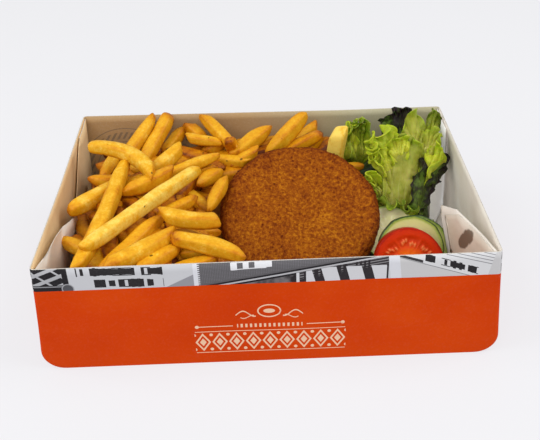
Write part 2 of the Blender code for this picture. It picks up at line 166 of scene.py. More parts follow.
class Finish:
    """A Principled material under construction."""

    def __init__(self, name, **constants):
        self.material = bpy.data.materials.new(name)
        self.material.use_nodes = True
        self.tree = self.material.node_tree
        self.shader = self.tree.nodes["Principled BSDF"]
        for socket, value in constants.items():
            self.shader.inputs[socket.replace("_", " ")].default_value = value

    def add(self, kind, settings=None, output=0, **values):
        """Adds any node: its settings first, then the values or links of its sockets."""
        node = self.tree.nodes.new(kind)
        for key, value in (settings or {}).items():
            if key == "stops":
                self._set_stops(node.color_ramp, value)
            else:
                setattr(node, key, value)
        for key, value in values.items():
            named = [s for s in node.inputs if key in (s.identifier, s.name.replace(" ", "_"))]
            feed(self.tree, named[0], value)
        return Signal(self.tree, node.outputs[output])

    @staticmethod
    def _set_stops(ramp, stops):
        while len(ramp.elements) < len(stops):
            ramp.elements.new(1)
        for element, (place, colour) in zip(ramp.elements, stops):
            element.position = place
            element.color = (*colour, 1)

    def place(self):
        """Where the surface point is, in metres, as three signals."""
        spot = self.add("ShaderNodeTexCoord", output=3)
        split = self.tree.nodes.new("ShaderNodeSeparateXYZ")
        feed(self.tree, split.inputs[0], spot)
        return spot, *(Signal(self.tree, out) for out in split.outputs)

    def stored(self, name):
        """A number that the mesh stores at each vertex."""
        return self.add("ShaderNodeAttribute", {"attribute_name": name}, output=2)

    def cloud(self, scale, detail=2, rough=0.5, spot=None):
        """Soft noise around one half. A scale of 1000 gives spots of about a millimetre."""
        spot = spot or self.add("ShaderNodeTexCoord", output=3)
        return self.add("ShaderNodeTexNoise", Vector=spot, Scale=scale, Detail=detail, Roughness=rough)

    def dice(self, first, second=0.0):
        """A random number from 0 to 1 for each whole number, or pair of them."""
        cell = self.add("ShaderNodeCombineXYZ", X=first, Y=second)
        return self.add("ShaderNodeTexWhiteNoise", {"noise_dimensions": "2D"}, Vector=cell)

    def ramp(self, signal, *stops):
        """Colours at places along a signal that runs from 0 to 1."""
        return self.add("ShaderNodeValToRGB", {"stops": stops}, Fac=signal)

    def mix(self, mask, under, over):
        """Colour under, covered by colour over where the mask says so."""
        settings = {"data_type": "RGBA"}
        return self.add("ShaderNodeMix", settings, 2, Factor_Float=mask, A_Color=under, B_Color=over)

    def mix_value(self, mask, under, over):
        settings = {"data_type": "FLOAT"}
        return self.add("ShaderNodeMix", settings, 0, Factor_Float=mask, A_Float=under, B_Float=over)

    def bump(self, height, distance, strength=1.0):
        """Fine relief, too small to be worth points in the mesh."""
        normal = self.add("ShaderNodeBump", Height=height, Distance=distance, Strength=strength)
        self.out(Normal=normal)

    def out(self, **signals):
        """Links signals to the shader's sockets."""
        for socket, signal in signals.items():
            feed(self.tree, self.shader.inputs[socket.replace("_", " ")], signal)


print("a mid grey, 808080, is", round(paint("808080")[0], 3), "in linear light")

# %% [markdown]
# ## Meshes from rings
# Chips, patty and slices are all rings of points joined side by side: a chip's rings are its
# sections, and a slice's rings go from the middle of one face over the edge to the middle of the
# other. One helper joins any such stack of rings, closes both ends with a fan, and stores extra
# numbers at the vertices, which the shaders read later.

# %% Stack rings into a mesh
def stack_faces(rings, count, first=0):
    """Faces between rings of count points, with a fan on a single point at both ends."""
    faces = []
    for ring in range(rings - 1):
        low, high = first + ring * count, first + (ring + 1) * count
        for i in range(count):
            j = (i + 1) % count
            faces.append((low + i, low + j, high + j, high + i))
    start, end = first + rings * count, first + rings * count + 1
    last = first + (rings - 1) * count
    for i in range(count):
        j = (i + 1) % count
        faces.append((first + j, first + i, start))
        faces.append((last + i, last + j, end))
    return faces


def make_piece(name, points, faces, materials, numbers=None, nodes=()):
    """A piece of the scene, smooth, with its stored numbers, riding on the body."""
    mesh = bpy.data.meshes.new(name)
    mesh.from_pydata([tuple(map(float, p)) for p in points], [], faces)
    for key, values in (numbers or {}).items():
        layer = mesh.attributes.new(key, "FLOAT", "POINT")
        layer.data.foreach_set("value", np.asarray(values, dtype=np.float32))
    for material in materials:
        mesh.materials.append(material)
    bm = bmesh.new()
    bm.from_mesh(mesh)
    bmesh.ops.recalc_face_normals(bm, faces=bm.faces)
    bm.to_mesh(mesh)
    bm.free()
    mesh.shade_smooth()
    piece = bpy.data.objects.new(name, mesh)
    bpy.context.scene.collection.objects.link(piece)
    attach(piece, BODY)
    if nodes:
        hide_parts(*nodes)
    print(name, len(mesh.vertices), "vertices")
    return piece


print("a stack of 3 rings of 4 points has", len(stack_faces(3, 4)), "faces")

# %% [markdown]
# ## The tray
# The real tray is one sheet of board, orange outside with a strip of newsprint pattern along the
# rim, and bare inside. An open shell, lofted from the base outline to the rim outline and then
# thickened by Solidify, is that sheet. Solidify gives the inside and the cut edge material slots of
# their own, so the print needs no mask to stay outside.

# %% Sizes of the tray
tray_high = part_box("tray")[1]
HEIGHT = tray_high[2]
DEPTH_HALF = tray_high[1]
RIM_HALF = 125 * MM
BASE_SPREAD = 6 * MM
FOLD_RADIUS = 12 * MM
BOARD = 0.6 * MM
CORNER = 2.5 * MM
print("tray", round(tray_high[0] * 2, 4), "x", round(DEPTH_HALF * 2, 4), "x", round(HEIGHT, 4), "m")

# %% [markdown]
# ### The outline of the tray
# Its long walls stand upright. Its end walls lean out towards the table by 6 mm and then turn
# under into the base in a soft fold, because the board is bent there and not creased. A function
# of the height can say all of this, so the loft needs no hand-made curve. Handled board is never
# quite flat either: two more functions bow the walls in by less than a millimetre and lift the
# left end of the back rim, as on the real tray.

# %% The outline of the tray at one height
def half_length(z):
    """Half the tray's length at height z: the end walls lean out and turn under at the bottom."""
    lean = BASE_SPREAD * (1 - z / HEIGHT)
    under = max(FOLD_RADIUS - z, 0)
    return RIM_HALF + lean - (FOLD_RADIUS - math.sqrt(FOLD_RADIUS ** 2 - under ** 2))


def tray_outline(z, corner_steps=6, wall_steps=30):
    """Points round the tray at height z, anticlockwise from the front right corner."""
    half_x = half_length(z)
    corners = []
    for sign_x, sign_y, start in ((1, -1, -90), (1, 1, 0), (-1, 1, 90), (-1, -1, 180)):
        arc = []
        for step in range(corner_steps + 1):
            angle = math.radians(start + 90 * step / corner_steps)
            x = sign_x * (half_x - CORNER) + CORNER * math.cos(angle)
            y = sign_y * (DEPTH_HALF - CORNER) + CORNER * math.sin(angle)
            arc.append(Vector((x, y, z)))
        corners.append(arc)
    points = []
    for arc, ahead in zip(corners, corners[1:] + corners[:1]):
        points.extend(arc)
        points.extend(arc[-1].lerp(ahead[0], step / wall_steps) for step in range(1, wall_steps))
    return points


def board_wave(x, y, z):
    """How far handled board bows in, in metres: nothing at the base and the rim."""
    rise = math.sin(math.pi * min(max(z / HEIGHT, 0), 1))
    ripple = noise.noise(Vector((x, y, z * 0.4)) / (45 * MM))
    return (0.35 + 0.45 * ripple) * MM * rise


LIFT = 3 * MM
LIFT_FROM = 60 * MM  # the rim is level to the right of this place


def rim_lift(x, y, z):
    """The left end of the back wall stands a little higher than the rest of the rim, in metres."""
    share = max(LIFT_FROM - x, 0) / (LIFT_FROM + RIM_HALF) * max(y / DEPTH_HALF, 0)
    return LIFT * share * (z / HEIGHT) ** 2


print("half length at the table, the fold and the rim:")
print([round(half_length(z) / MM, 1) for z in (0, FOLD_RADIUS, HEIGHT)], "mm")


# %% [markdown]
# ### Masks for the print
# The board is printed before it is folded: a collage of pale and dark fields under the rim, orange
# below it, and an ornament on the front. A picture file could carry that, but it would blur close
# up. Each printed shape is instead a mask that is worked out from the surface point's place in
# millimetres, so its edge stays sharp at any distance. These three helpers make most of them.

# %% Masks for the print
def inside_range(value, low, high):
    return both(value > low, value < high)


def near_line(value, place, half_width):
    return abs(value - place) < half_width


def type_blocks(finish, along, up, middle, half_height, width):
    """A row of bars of uneven width and height, as dense as a line of type but without letters."""
    column = (along / width).floor()
    inked = finish.dice(column, 3) > 0.30
    tall = half_height * (0.62 + 0.38 * finish.dice(column, 8))
    stems = both(inked, abs(up - middle) < tall)
    rail = abs(abs(up - middle) - half_height * 0.82) < half_height * 0.10
    return either(stems, both(rail, finish.dice((along / (width * 3)).floor(), 5) > 0.45))


print("masks ready: a range, a line, a row of bars")

# %% [markdown]
# ### The collage under the rim
# It is laid as a printer would lay it, from the lowest sheet to the topmost, from left to right.
# Each function takes the colour so far and mixes its own fields over it. Where two fields meet at
# a slant, the mask compares a sloping line with zero. The folds and rows of bars have only the
# density of a printed page.

# %% The collage under the rim
INK, GREY, PAPER = paint("262427"), paint("5C5A5D"), paint("BFC0C4")
BAND_FOOT = 55.6  # height of the line between the orange and the collage, in millimetres


def left_fields(finish, along, up):
    """Pale paper with rows of bars, and a folded sheet beside it."""
    fold = up - 55.5 - (along + 54) * 0.52
    colour = finish.mix(inside_range(along, -106, -54), PAPER, paint("BDBEC2"))
    rows = type_blocks(finish, along, up + along * 0.02, 65.6, 2.9, 1.7)
    lower_rows = type_blocks(finish, along + 40, up + along * 0.02, 57.9, 2.9, 1.7)
    colour = finish.mix(both(rows, inside_range(along, -101, -55)), colour, paint("2C2A2C"))
    colour = finish.mix(both(lower_rows, inside_range(along, -92, -55)), colour, paint("2C2A2C"))
    shade = both(both(along > -54, fold < 0), along < -39)
    colour = finish.mix(shade, colour, paint("8E8E94"))
    colour = finish.mix(inside_range(along, -39, -35.6), colour, paint("CFD0D6"))
    colour = finish.mix(both(inside_range(along, -36.6, -35.6), abs(up.wrapped(1.4)) < 0.35), colour, GREY)
    return colour


def middle_fields(finish, along, up, colour):
    """A dotted grey field and a black one, parted by slanting rules."""
    line = up - 55.5 - (along + 33.6) * 0.175
    middle_field = inside_range(along, -35.6, 65)
    colour = finish.mix(both(middle_field, line > 0), colour, GREY)
    dots = both(abs(along.wrapped(0.9)) < 0.2, abs(up.wrapped(0.9)) < 0.2)
    colour = finish.mix(both(both(middle_field, line > 1.2), dots), colour, paint("77757A"))
    blocks = type_blocks(finish, along, up - along * 0.05, 68.6, 2.7, 3.1)
    colour = finish.mix(both(blocks, inside_range(along, -19, 3)), colour, paint("D8D8DC"))
    below = both(middle_field, line < 0)
    smudge = finish.cloud(150, 3)
    colour = finish.mix(below, colour, finish.ramp(smudge, (0.40, paint("2A2629")), (0.62, paint("6E6A6C"))))
    colour = finish.mix(both(below, line > -1.1), colour, INK)
    colour = finish.mix(both(below, inside_range(line, -2.2, -1.2)), colour, paint("B0AFB3"))
    colour = finish.mix(both(below, inside_range(line, -3.4, -2.2)), colour, INK)
    black_field = both(both(inside_range(along, 17.6, 65), line < -2.4), below)
    colour = finish.mix(black_field, colour, paint("302C2F"))
    colour = finish.mix(both(below, both(near_line(along, 16.6, 0.8), line < -2.4)), colour, paint("C9C9CD"))
    small_rows = both(abs((line + 0.6).wrapped(1.7)) < 0.35, finish.dice((along / 1.1).floor(), 1) > 0.35)
    colour = finish.mix(both(both(black_field, line > -7.2), small_rows), colour, paint("7C7A7C"))
    bars = abs((along - 34.5 + (up - 58.6) * 0.25).wrapped(13.4)) < 4.1
    bars = both(both(bars, abs(up - 58.6) < 6.2), both(black_field, inside_range(along, 21, 64)))
    colour = finish.mix(bars, colour, paint("C6C6CA"))
    return colour


def right_fields(finish, along, up, colour):
    """Two sheets of pale paper, one lying over the other at a slant."""
    colour = finish.mix(inside_range(along - (70.5 - up) * 0.12, 64.6, 70.4), colour, paint("CCCDD3"))
    right_field = along - (70.5 - up) * 0.12 > 70.4
    colour = finish.mix(right_field, colour, paint("BEBDBE"))
    sheet_edge = up - 68.5 + (along - 72) * 0.36
    sheet = both(right_field, both(sheet_edge > 0, along + (70.5 - up) * 0.2 < 121.5))
    colour = finish.mix(sheet, colour, paint("CDCDCF"))
    colour = finish.mix(both(sheet, sheet_edge < 0.45), colour, paint("7E7E80"))
    dash = both(both(sheet, inside_range(sheet_edge, 0.6, 2.4)), along < 83)
    colour = finish.mix(dash, colour, paint("3A383A"))
    marks = type_blocks(finish, along * 0.8, sheet_edge, 4.7, 2.6, 1.3)
    colour = finish.mix(both(sheet, both(marks, inside_range(along, 84, 113))), colour, paint("2A282A"))
    fine_lines = both(abs((up + along * 0.30).wrapped(2.1)) < 0.22, both(sheet_edge > 9.5, along > 95))
    colour = finish.mix(both(sheet, fine_lines), colour, paint("77777B"))
    return colour


def corner_field(finish, along, up, colour):
    """A black field at the left corner, with crossing bars and a disc."""
    left_block = along < -105.5
    colour = finish.mix(left_block, colour, INK)
    stripes = abs((up - along * 0.42).wrapped(6.2)) < 1.15
    crossing = abs((up + along * 0.9).wrapped(11)) < 0.8
    panel = both(left_block, both(up > 59.5, along < -108.5))
    colour = finish.mix(both(panel, either(stripes, crossing)), colour, paint("A8A8AC"))
    colour = finish.mix(both(left_block, inside_range(up, 58.2, 58.9)), colour, paint("8A8A8E"))
    disc = (((along + 106.5) / 3.4) ** 2 + ((up - 56.8) / 3.4) ** 2) < 1
    inner_disc = (((along + 106.5) / 2.8) ** 2 + ((up - 56.8) / 2.8) ** 2) < 1
    colour = finish.mix(disc, colour, paint("9A9A9E"))
    return finish.mix(inner_disc, colour, paint("505054"))


def newsprint(finish, along, up):
    """The collage under the rim: fields of paper and ink, with bars and shapes for what is printed."""
    colour = left_fields(finish, along, up)
    colour = middle_fields(finish, along, up, colour)
    colour = right_fields(finish, along, up, colour)
    return corner_field(finish, along, up, colour)


print("the collage starts", BAND_FOOT, "mm above the table")


# %% [markdown]
# ### The ornament on the front
# A row of lozenges between two rails, a rule with bars in its middle, and a leaf between waves are
# plain shapes of a kind that many printers use. A repeated shape needs one mask only: `wrapped`
# folds the length into equal steps, and the mask is drawn once in the middle of a step.

# %% The ornament on the front
def ornament_mask(along, up):
    """The plain ornament in the middle of the front: lozenges, rules, waves and a leaf."""
    reach = abs(along - 0.5)
    step = abs((along - 0.5).wrapped(9.45))
    row = abs(up - 15.1)
    lozenge = (step / 4.4 + row / 6.5) < 1
    hollow = (step / 3.2 + row / 4.8) < 1
    heart = (step / 1.9 + row / 2.8) < 1
    half_step = abs((along - 0.5 + 4.725).wrapped(9.45))
    beads = (half_step ** 2 + (row - 5.2) ** 2) < 1.0
    rails = both(near_line(row, 7.5, 0.22), reach < 42)
    lozenges = both(either(either(both(lozenge, 1 - hollow), heart), beads), reach < 42.3)
    rule = both(near_line(up, 26.2, 0.28), inside_range(reach, 20.5, 40))
    rule_end = ((reach - 40.6) ** 2 + (up - 26.2) ** 2) < 1.2
    bars = both(near_line(up, 26.2, 1.25), both(reach < 18.2, abs((along - 0.5).wrapped(2.6)) < 0.62))
    high_curve = up - 34.6 - 1.9 * (reach * 0.50 + 0.6).sine()
    wave = both(abs(high_curve) < 0.42, inside_range(reach, 7.5, 18.6))
    low_curve = up - 32.4 - 1.1 * (reach * 0.62 + 2.2).sine()
    second_wave = both(abs(low_curve) < 0.30, inside_range(reach, 8.5, 16))
    leaf = ((reach / 6.6) ** 2 + (abs(up - 36.4) / 4.6) ** 2) < 1
    vein = ((reach / 5.8) ** 2 + (abs(up - 36.4) / 3.8) ** 2) < 1
    seed = ((reach / 3.2) ** 2 + (abs(up - 36.4) / 1.5) ** 2) < 1
    parts = either(lozenges, rails)
    for part in (rule, rule_end, bars, wave, second_wave, both(leaf, 1 - vein), seed):
        parts = either(parts, part)
    return parts


print("ornament: 84 mm long, with a lozenge every 9.45 mm")


# %% [markdown]
# ### The printed outside
# The same print runs round all four walls. Which way a wall faces tells which coordinate runs
# along it. Orange ink on board is not one flat colour: it has wide soft clouds, faint streaks
# along the grain, and the fibres under it show as a very fine speckle.

# %% The printed outside
def printed_outside():
    finish = Finish("printed board", Specular_IOR_Level=0.04)
    spot, x, y, z = finish.place()
    normal = finish.add("ShaderNodeNewGeometry", output=1)
    side = abs(finish.add("ShaderNodeSeparateXYZ", Vector=normal)) > 0.7
    along = finish.mix_value(side, x, y) * 1000
    up = z * 1000
    waves = finish.cloud(16, 3, 0.55)
    fibre = finish.cloud(900, 2, 0.6)
    streaks = finish.add("ShaderNodeMapping", Vector=spot, Scale=(7, 7, 70))
    streak = finish.cloud(1, 4, 0.55, streaks)
    orange = finish.ramp(waves, (0.30, paint("C03400")), (0.55, paint("C83B00")), (0.75, paint("CE4404")))
    orange = finish.mix((streak - 0.45) * 0.55, orange, paint("CF4A0A"))
    orange = finish.mix((1 - up / 40).clamped() * 0.25, orange, paint("CC4808"))
    worn = finish.cloud(420, 3, 0.7)
    ornament = both(ornament_mask(along, up), y < -0.05)
    orange = finish.mix(both(ornament, 1 - (worn > 0.66) * 0.35), orange, paint("E4BC9C"))
    print_colour = finish.mix(up > BAND_FOOT, orange, newsprint(finish, along, up))
    print_colour = finish.mix((fibre - 0.5) * 0.04, print_colour, paint("FFFFFF"))
    finish.out(Base_Color=print_colour, Roughness=0.45 + 0.12 * waves)
    finish.bump(0.6 * finish.cloud(35, 3) + 0.15 * fibre, 0.25 * MM, 0.5)
    return finish.material


# %% [markdown]
# ### The bare inside and the cut edge
# Inside, the board is bare. It is warm white on the salad's side. Towards the chips a warm yellow is
# painted over it, painted light for what the fried chips throw back, and the back wall is darkened
# most by painted shade, greenish on the salad's side and brown on the side of the chips. Faint grey
# arcs and bars lie across the back left corner. Grease follows the distance from the chips and is
# broken up by noise, so that it ends in soft patches. Where the sheet is cut, its core shows as a
# thin, slightly darker edge.

# %% The bare inside and the cut edge
BY_BACK_WALL = 85.5 * MM


def bare_inside():
    finish = Finish("bare board", Specular_IOR_Level=0.2)
    x, y, z = finish.place()[1:]
    soft = finish.cloud(26, 4, 0.55)
    fibre = finish.cloud(1100, 2, 0.6)
    colour = finish.ramp(soft, (0.30, paint("DCD2C6")), (0.55, paint("EEE7DD")), (0.78, paint("F6F1E9")))
    grease = finish.ramp(finish.cloud(38, 5, 0.6), (0.50, (0, 0, 0)), (0.72, (1, 1, 1)))
    by_chips = ((x * -1000 + 70) / 90).clamped()
    low = 1 - (z / HEIGHT) ** 0.8
    # Painted light: a warm yellow towards the chips, for the light that they throw back onto the board.
    colour = finish.mix(0.85 * by_chips, colour, paint("F2CE94"))
    # Painted shade on the back wall, greenish on the salad's side and brown on the side of the chips.
    painted_back_wall_shade = finish.mix(by_chips, paint("A6A078"), paint("9C7A50"))
    colour = finish.mix((y > BY_BACK_WALL) * 0.85, colour, painted_back_wall_shade)
    colour = finish.mix(0.45 * grease * either(low, by_chips * 0.6), colour, paint("B8945F"))
    colour = finish.mix(0.55 * stamp_mask(x * 1000, y * 1000, z * 1000), colour, paint("5E574F"))
    colour = finish.mix(0.25 * (fibre - 0.5), colour, paint("FFFFFF"))
    finish.out(Base_Color=colour, Roughness=0.5 + 0.2 * soft)
    finish.bump(0.8 * soft + 0.12 * fibre, 0.5 * MM, 0.6)
    return finish.material


def stamp_mask(x, y, z):
    """Faint arcs and short bars printed across the back left corner."""
    reach = (((x + 96) + (y - 84.5)) ** 2 + (z - 30) ** 2) ** 0.5
    rings = either(abs(reach - 33) < 0.35, abs(reach - 22.5) < 0.3)
    bars = both(abs(reach - 27.5) < 2.6, abs((x * 0.8 + y * 0.8 - z * 0.5).wrapped(3.1)) < 0.75)
    corner = both(x < -70, either(rings, bars))
    strokes = both(abs((x * 0.5 + z).wrapped(5.0)) < 0.8, abs((x - z * 0.7).wrapped(9.0)) < 1.6)
    loose = both(both(y > 84, inside_range(x, -64, -34)), both(strokes, inside_range(z, 48, 62)))
    return either(corner, loose)


def cut_edge():
    finish = Finish("cut edge")
    fibre = finish.cloud(1500, 2, 0.6)
    finish.out(Base_Color=finish.ramp(fibre, (0.3, paint("B0A89C")), (0.7, paint("DAD4C9"))), Roughness=0.7)
    finish.bump(fibre, 0.1 * MM)
    return finish.material


board_materials = [printed_outside(), bare_inside(), cut_edge()]
print("board:", ", ".join(material.name for material in board_materials))


# %% [markdown]
# ### Build the tray's sheet
# The levels of the loft are close together round the fold and then even up to the rim, with enough
# points along each wall for the board's bow to show. The sheet is left open at the top, the base is
# one face, and Solidify gives it the real board's thickness inwards.

# %% Build the tray's sheet
def wall_heights():
    """Levels of the loft, from the table to the rim."""
    turn = [FOLD_RADIUS * (1 - math.cos(math.pi / 2 * i / 10)) for i in range(10)]
    rise = [FOLD_RADIUS + (HEIGHT - FOLD_RADIUS) * i / 12 for i in range(13)]
    return turn + rise


def build_tray():
    points = []
    for z in wall_heights():
        for spot in tray_outline(z):
            push = board_wave(*spot)
            if abs(spot.y) > DEPTH_HALF - MM:
                spot.y -= math.copysign(push, spot.y)
            elif abs(spot.x) > half_length(z) - MM:
                spot.x -= math.copysign(push, spot.x)
            spot.z += rim_lift(*spot)
            points.append(spot)
    count = len(tray_outline(0))
    levels = len(wall_heights())
    faces = []
    for level in range(levels - 1):
        low, high = level * count, (level + 1) * count
        for i in range(count):
            j = (i + 1) % count
            faces.append((low + i, low + j, high + j, high + i))
    faces.append(tuple(reversed(range(count))))
    piece = make_piece("tray_sheet", points, faces, board_materials, nodes=("tray",))
    piece.data.set_sharp_from_angle(angle=math.radians(40))
    shell = piece.modifiers.new("board", "SOLIDIFY")
    shell.thickness = BOARD
    shell.offset = -1
    shell.use_even_offset = True
    shell.material_offset = 1
    shell.material_offset_rim = 2
    return piece


build_tray()

# %% [markdown]
# ### One layer of a corner web
# Where the sheet folds up at a corner there is a spare triangle of board. At the front it stands
# loose inside the tray and catches the light, and at the back it lies along the end wall. Each
# layer is drawn as a flat outline, in millimetres along the wall and down from the rim. It is cut
# into a grid, leaned and bent a little, and thickened the same way as the tray.

# %% One layer of a corner web
def web_layer(name, outline, corner, heading, offset, slope, curl, material_list):
    """A sheet hung from the rim: outline holds (along, down) in millimetres from the corner."""
    bm = bmesh.new()
    verts = [bm.verts.new((a, 0, -b)) for a, b in outline]
    bm.faces.new(verts)
    bmesh.ops.triangulate(bm, faces=bm.faces)
    bmesh.ops.subdivide_edges(bm, edges=bm.edges, cuts=6, use_grid_fill=True)
    for vert in bm.verts:
        a, down = vert.co.x, -vert.co.z
        bend = curl * (math.sin(math.pi * min(a / 60, 1)) + math.sin(a / 9 + down / 11))
        vert.co.y = offset + slope * down + bend * min(a / 12, 1)
    bmesh.ops.scale(bm, vec=(MM, MM, MM), verts=bm.verts)
    turn = Matrix.Rotation(heading, 4, "Z")
    bmesh.ops.transform(bm, matrix=Matrix.Translation(corner) @ turn, verts=bm.verts)
    points = [tuple(v.co) for v in bm.verts]
    bm.verts.index_update()
    faces = [tuple(v.index for v in f.verts) for f in bm.faces]
    bm.free()
    piece = make_piece(name, points, faces, material_list, nodes=("tray",))
    sheet = piece.modifiers.new("board", "SOLIDIFY")
    sheet.thickness = 0.45 * MM
    sheet.offset = 0
    sheet.material_offset_rim = len(material_list) - 1
    return piece


# %% [markdown]
# ### Finishes of the webs
# The webs show the board's inner faces. On the right one lies a shorter layer with a dark mark in
# the shape of a leaf, painted shade for a slot in that layer: an ellipse whose distance is disturbed
# by noise. One of the two linings, the white one, is given a very faint glow: painted light that
# keeps it bright where it stands in shade.

# %% Finishes of the webs
def board_with_slot_shade():
    """Bare board with the dark, leaf-shaped painted shade of a slot in the right web."""
    finish = Finish("board with painted slot shade")
    y, z = finish.place()[2:]
    soft = finish.cloud(30, 4, 0.55)
    colour = finish.ramp(soft, (0.3, paint("C3B09C")), (0.55, paint("D8CBBB")), (0.8, paint("E6DDD1")))
    down = (HEIGHT - z) * 1000
    along = (y + DEPTH_HALF) * 1000 - 3
    ragged = (finish.cloud(160, 3) - 0.5) * 1.6
    lengthwise = (along - 26.3) * 0.55 + (down - 12) * 0.83
    crosswise = (along - 26.3) * 0.83 - (down - 12) * 0.55
    reach = (lengthwise / 9.5) ** 2 + (crosswise / 4.4) ** 2 + ragged
    mark = ((1.1 - reach) * 3).clamped()
    # Painted shade: the dark leaf-shaped mark stands for the shadow in a slot of the board.
    colour = finish.mix(0.9 * mark, colour, paint("5E4A38"))
    finish.out(Base_Color=colour, Roughness=0.55)
    finish.bump(soft, 0.4 * MM, 0.5)
    return finish.material


def pale_lining(name, darker, lighter, glow=0):
    """The whiter face of the board on the spare triangles. A glow above zero is painted light for its shade.
    """
    finish = Finish(name, Specular_IOR_Level=0.2, Emission_Strength=glow)
    soft = finish.cloud(24, 4, 0.55)
    finish.out(Base_Color=finish.ramp(soft, (0.3, paint(darker)), (0.7, paint(lighter))), Roughness=0.55)
    finish.bump(soft, 0.4 * MM, 0.5)
    return finish.material


print("web finishes ready")

# %% [markdown]
# ### Place the webs
# Every web hangs from a corner of the rim with its own heading. Those at the back follow the lean
# of the end walls, so that they stay inside them. The one called fold curves away from the right
# wall behind the salad: its outline starts 33 mm in front of the back wall.

# %% Place the webs
web_materials = [bare_inside(), cut_edge()]
pale_materials = [pale_lining("pale lining", "DFD3C6", "F2E9DF"), cut_edge()]
# Painted light: this lining glows faintly, so that it stays bright in the shade of the salad.
glowing_lining_materials = [pale_lining("white lining with painted glow", "EDEBEA", "FAF9F8", 0.12), cut_edge()]
slot_shade_materials = [board_with_slot_shade(), cut_edge()]
CORNER_IN = 3 * MM
WALL_SLOPE = BASE_SPREAD / HEIGHT
LEFT_LEAN, RIGHT_LEAN = 5, 17
left_corner = Vector((-RIM_HALF + CORNER_IN, -DEPTH_HALF + CORNER_IN, HEIGHT))
right_corner = Vector((RIM_HALF - CORNER_IN, -DEPTH_HALF + CORNER_IN, HEIGHT))
left_heading = math.radians(90 - LEFT_LEAN)
right_heading = math.radians(90 + RIGHT_LEAN)
LEFT_WEB = ((-1, 1.4), (9, 2.2), (25, 4), (50, 8), (80, 19), (84, 40), (60, 56), (-1, 60))
RIGHT_WEB = ((-1, 1), (42, 0.8), (60, 8.6), (59, 16), (45, 40), (-1, 48))
RIGHT_WEB_INNER = ((1, 1.4), (38, 1.2), (53, 11), (40, 21), (43, 31), (1, 46))
LEFT_GUSSET = ((0, -1.8), (27, -0.8), (16, 17), (13, 32), (18, 42), (38, 41), (62, 37),
               (92, 40), (92, 60), (0, 64))
RIGHT_GUSSET = ((0, 0.6), (31, 0.6), (31.6, 17), (31.8, 37), (34, 64), (1, 64))
back_left = Vector((-RIM_HALF + 1.4 * MM, DEPTH_HALF - 2 * MM, HEIGHT))
back_right = Vector((RIM_HALF - 1.6 * MM, DEPTH_HALF - 2 * MM, HEIGHT))
backwards = math.radians(-90)
FOLD = ((0, 8), (0.8, 28), (12.8, 29.5), (20.7, 29.4), (27, 32.3), (29, 36), (28.4, 47.5),
        (26.5, 58), (20, 68), (1, 68), (-3, 64), (-4.5, 50), (-2.5, 30), (-0.3, 10))
fold_start = Vector((124.4, 54, 0)) * MM + Vector((0, 0, HEIGHT))
fold_heading = math.radians(-120.4)
web_layer("gusset_left", LEFT_GUSSET, back_left, backwards, 0, -0.5 * WALL_SLOPE, 0.2, web_materials)
web_layer("gusset_right", RIGHT_GUSSET, back_right, backwards, 0, 0.5 * WALL_SLOPE, -0.3, glowing_lining_materials)
web_layer("fold_right", FOLD, fold_start, fold_heading, 0, 0, 0.5, glowing_lining_materials)
web_layer("web_left", LEFT_WEB, left_corner, left_heading, 0, WALL_SLOPE, -0.8, pale_materials)
web_layer("web_right", RIGHT_WEB, right_corner, right_heading, 0, 0, -0.4, web_materials)
web_layer("web_right_inner", RIGHT_WEB_INNER, right_corner, right_heading, 1.3, 0, -0.4, slot_shade_materials)
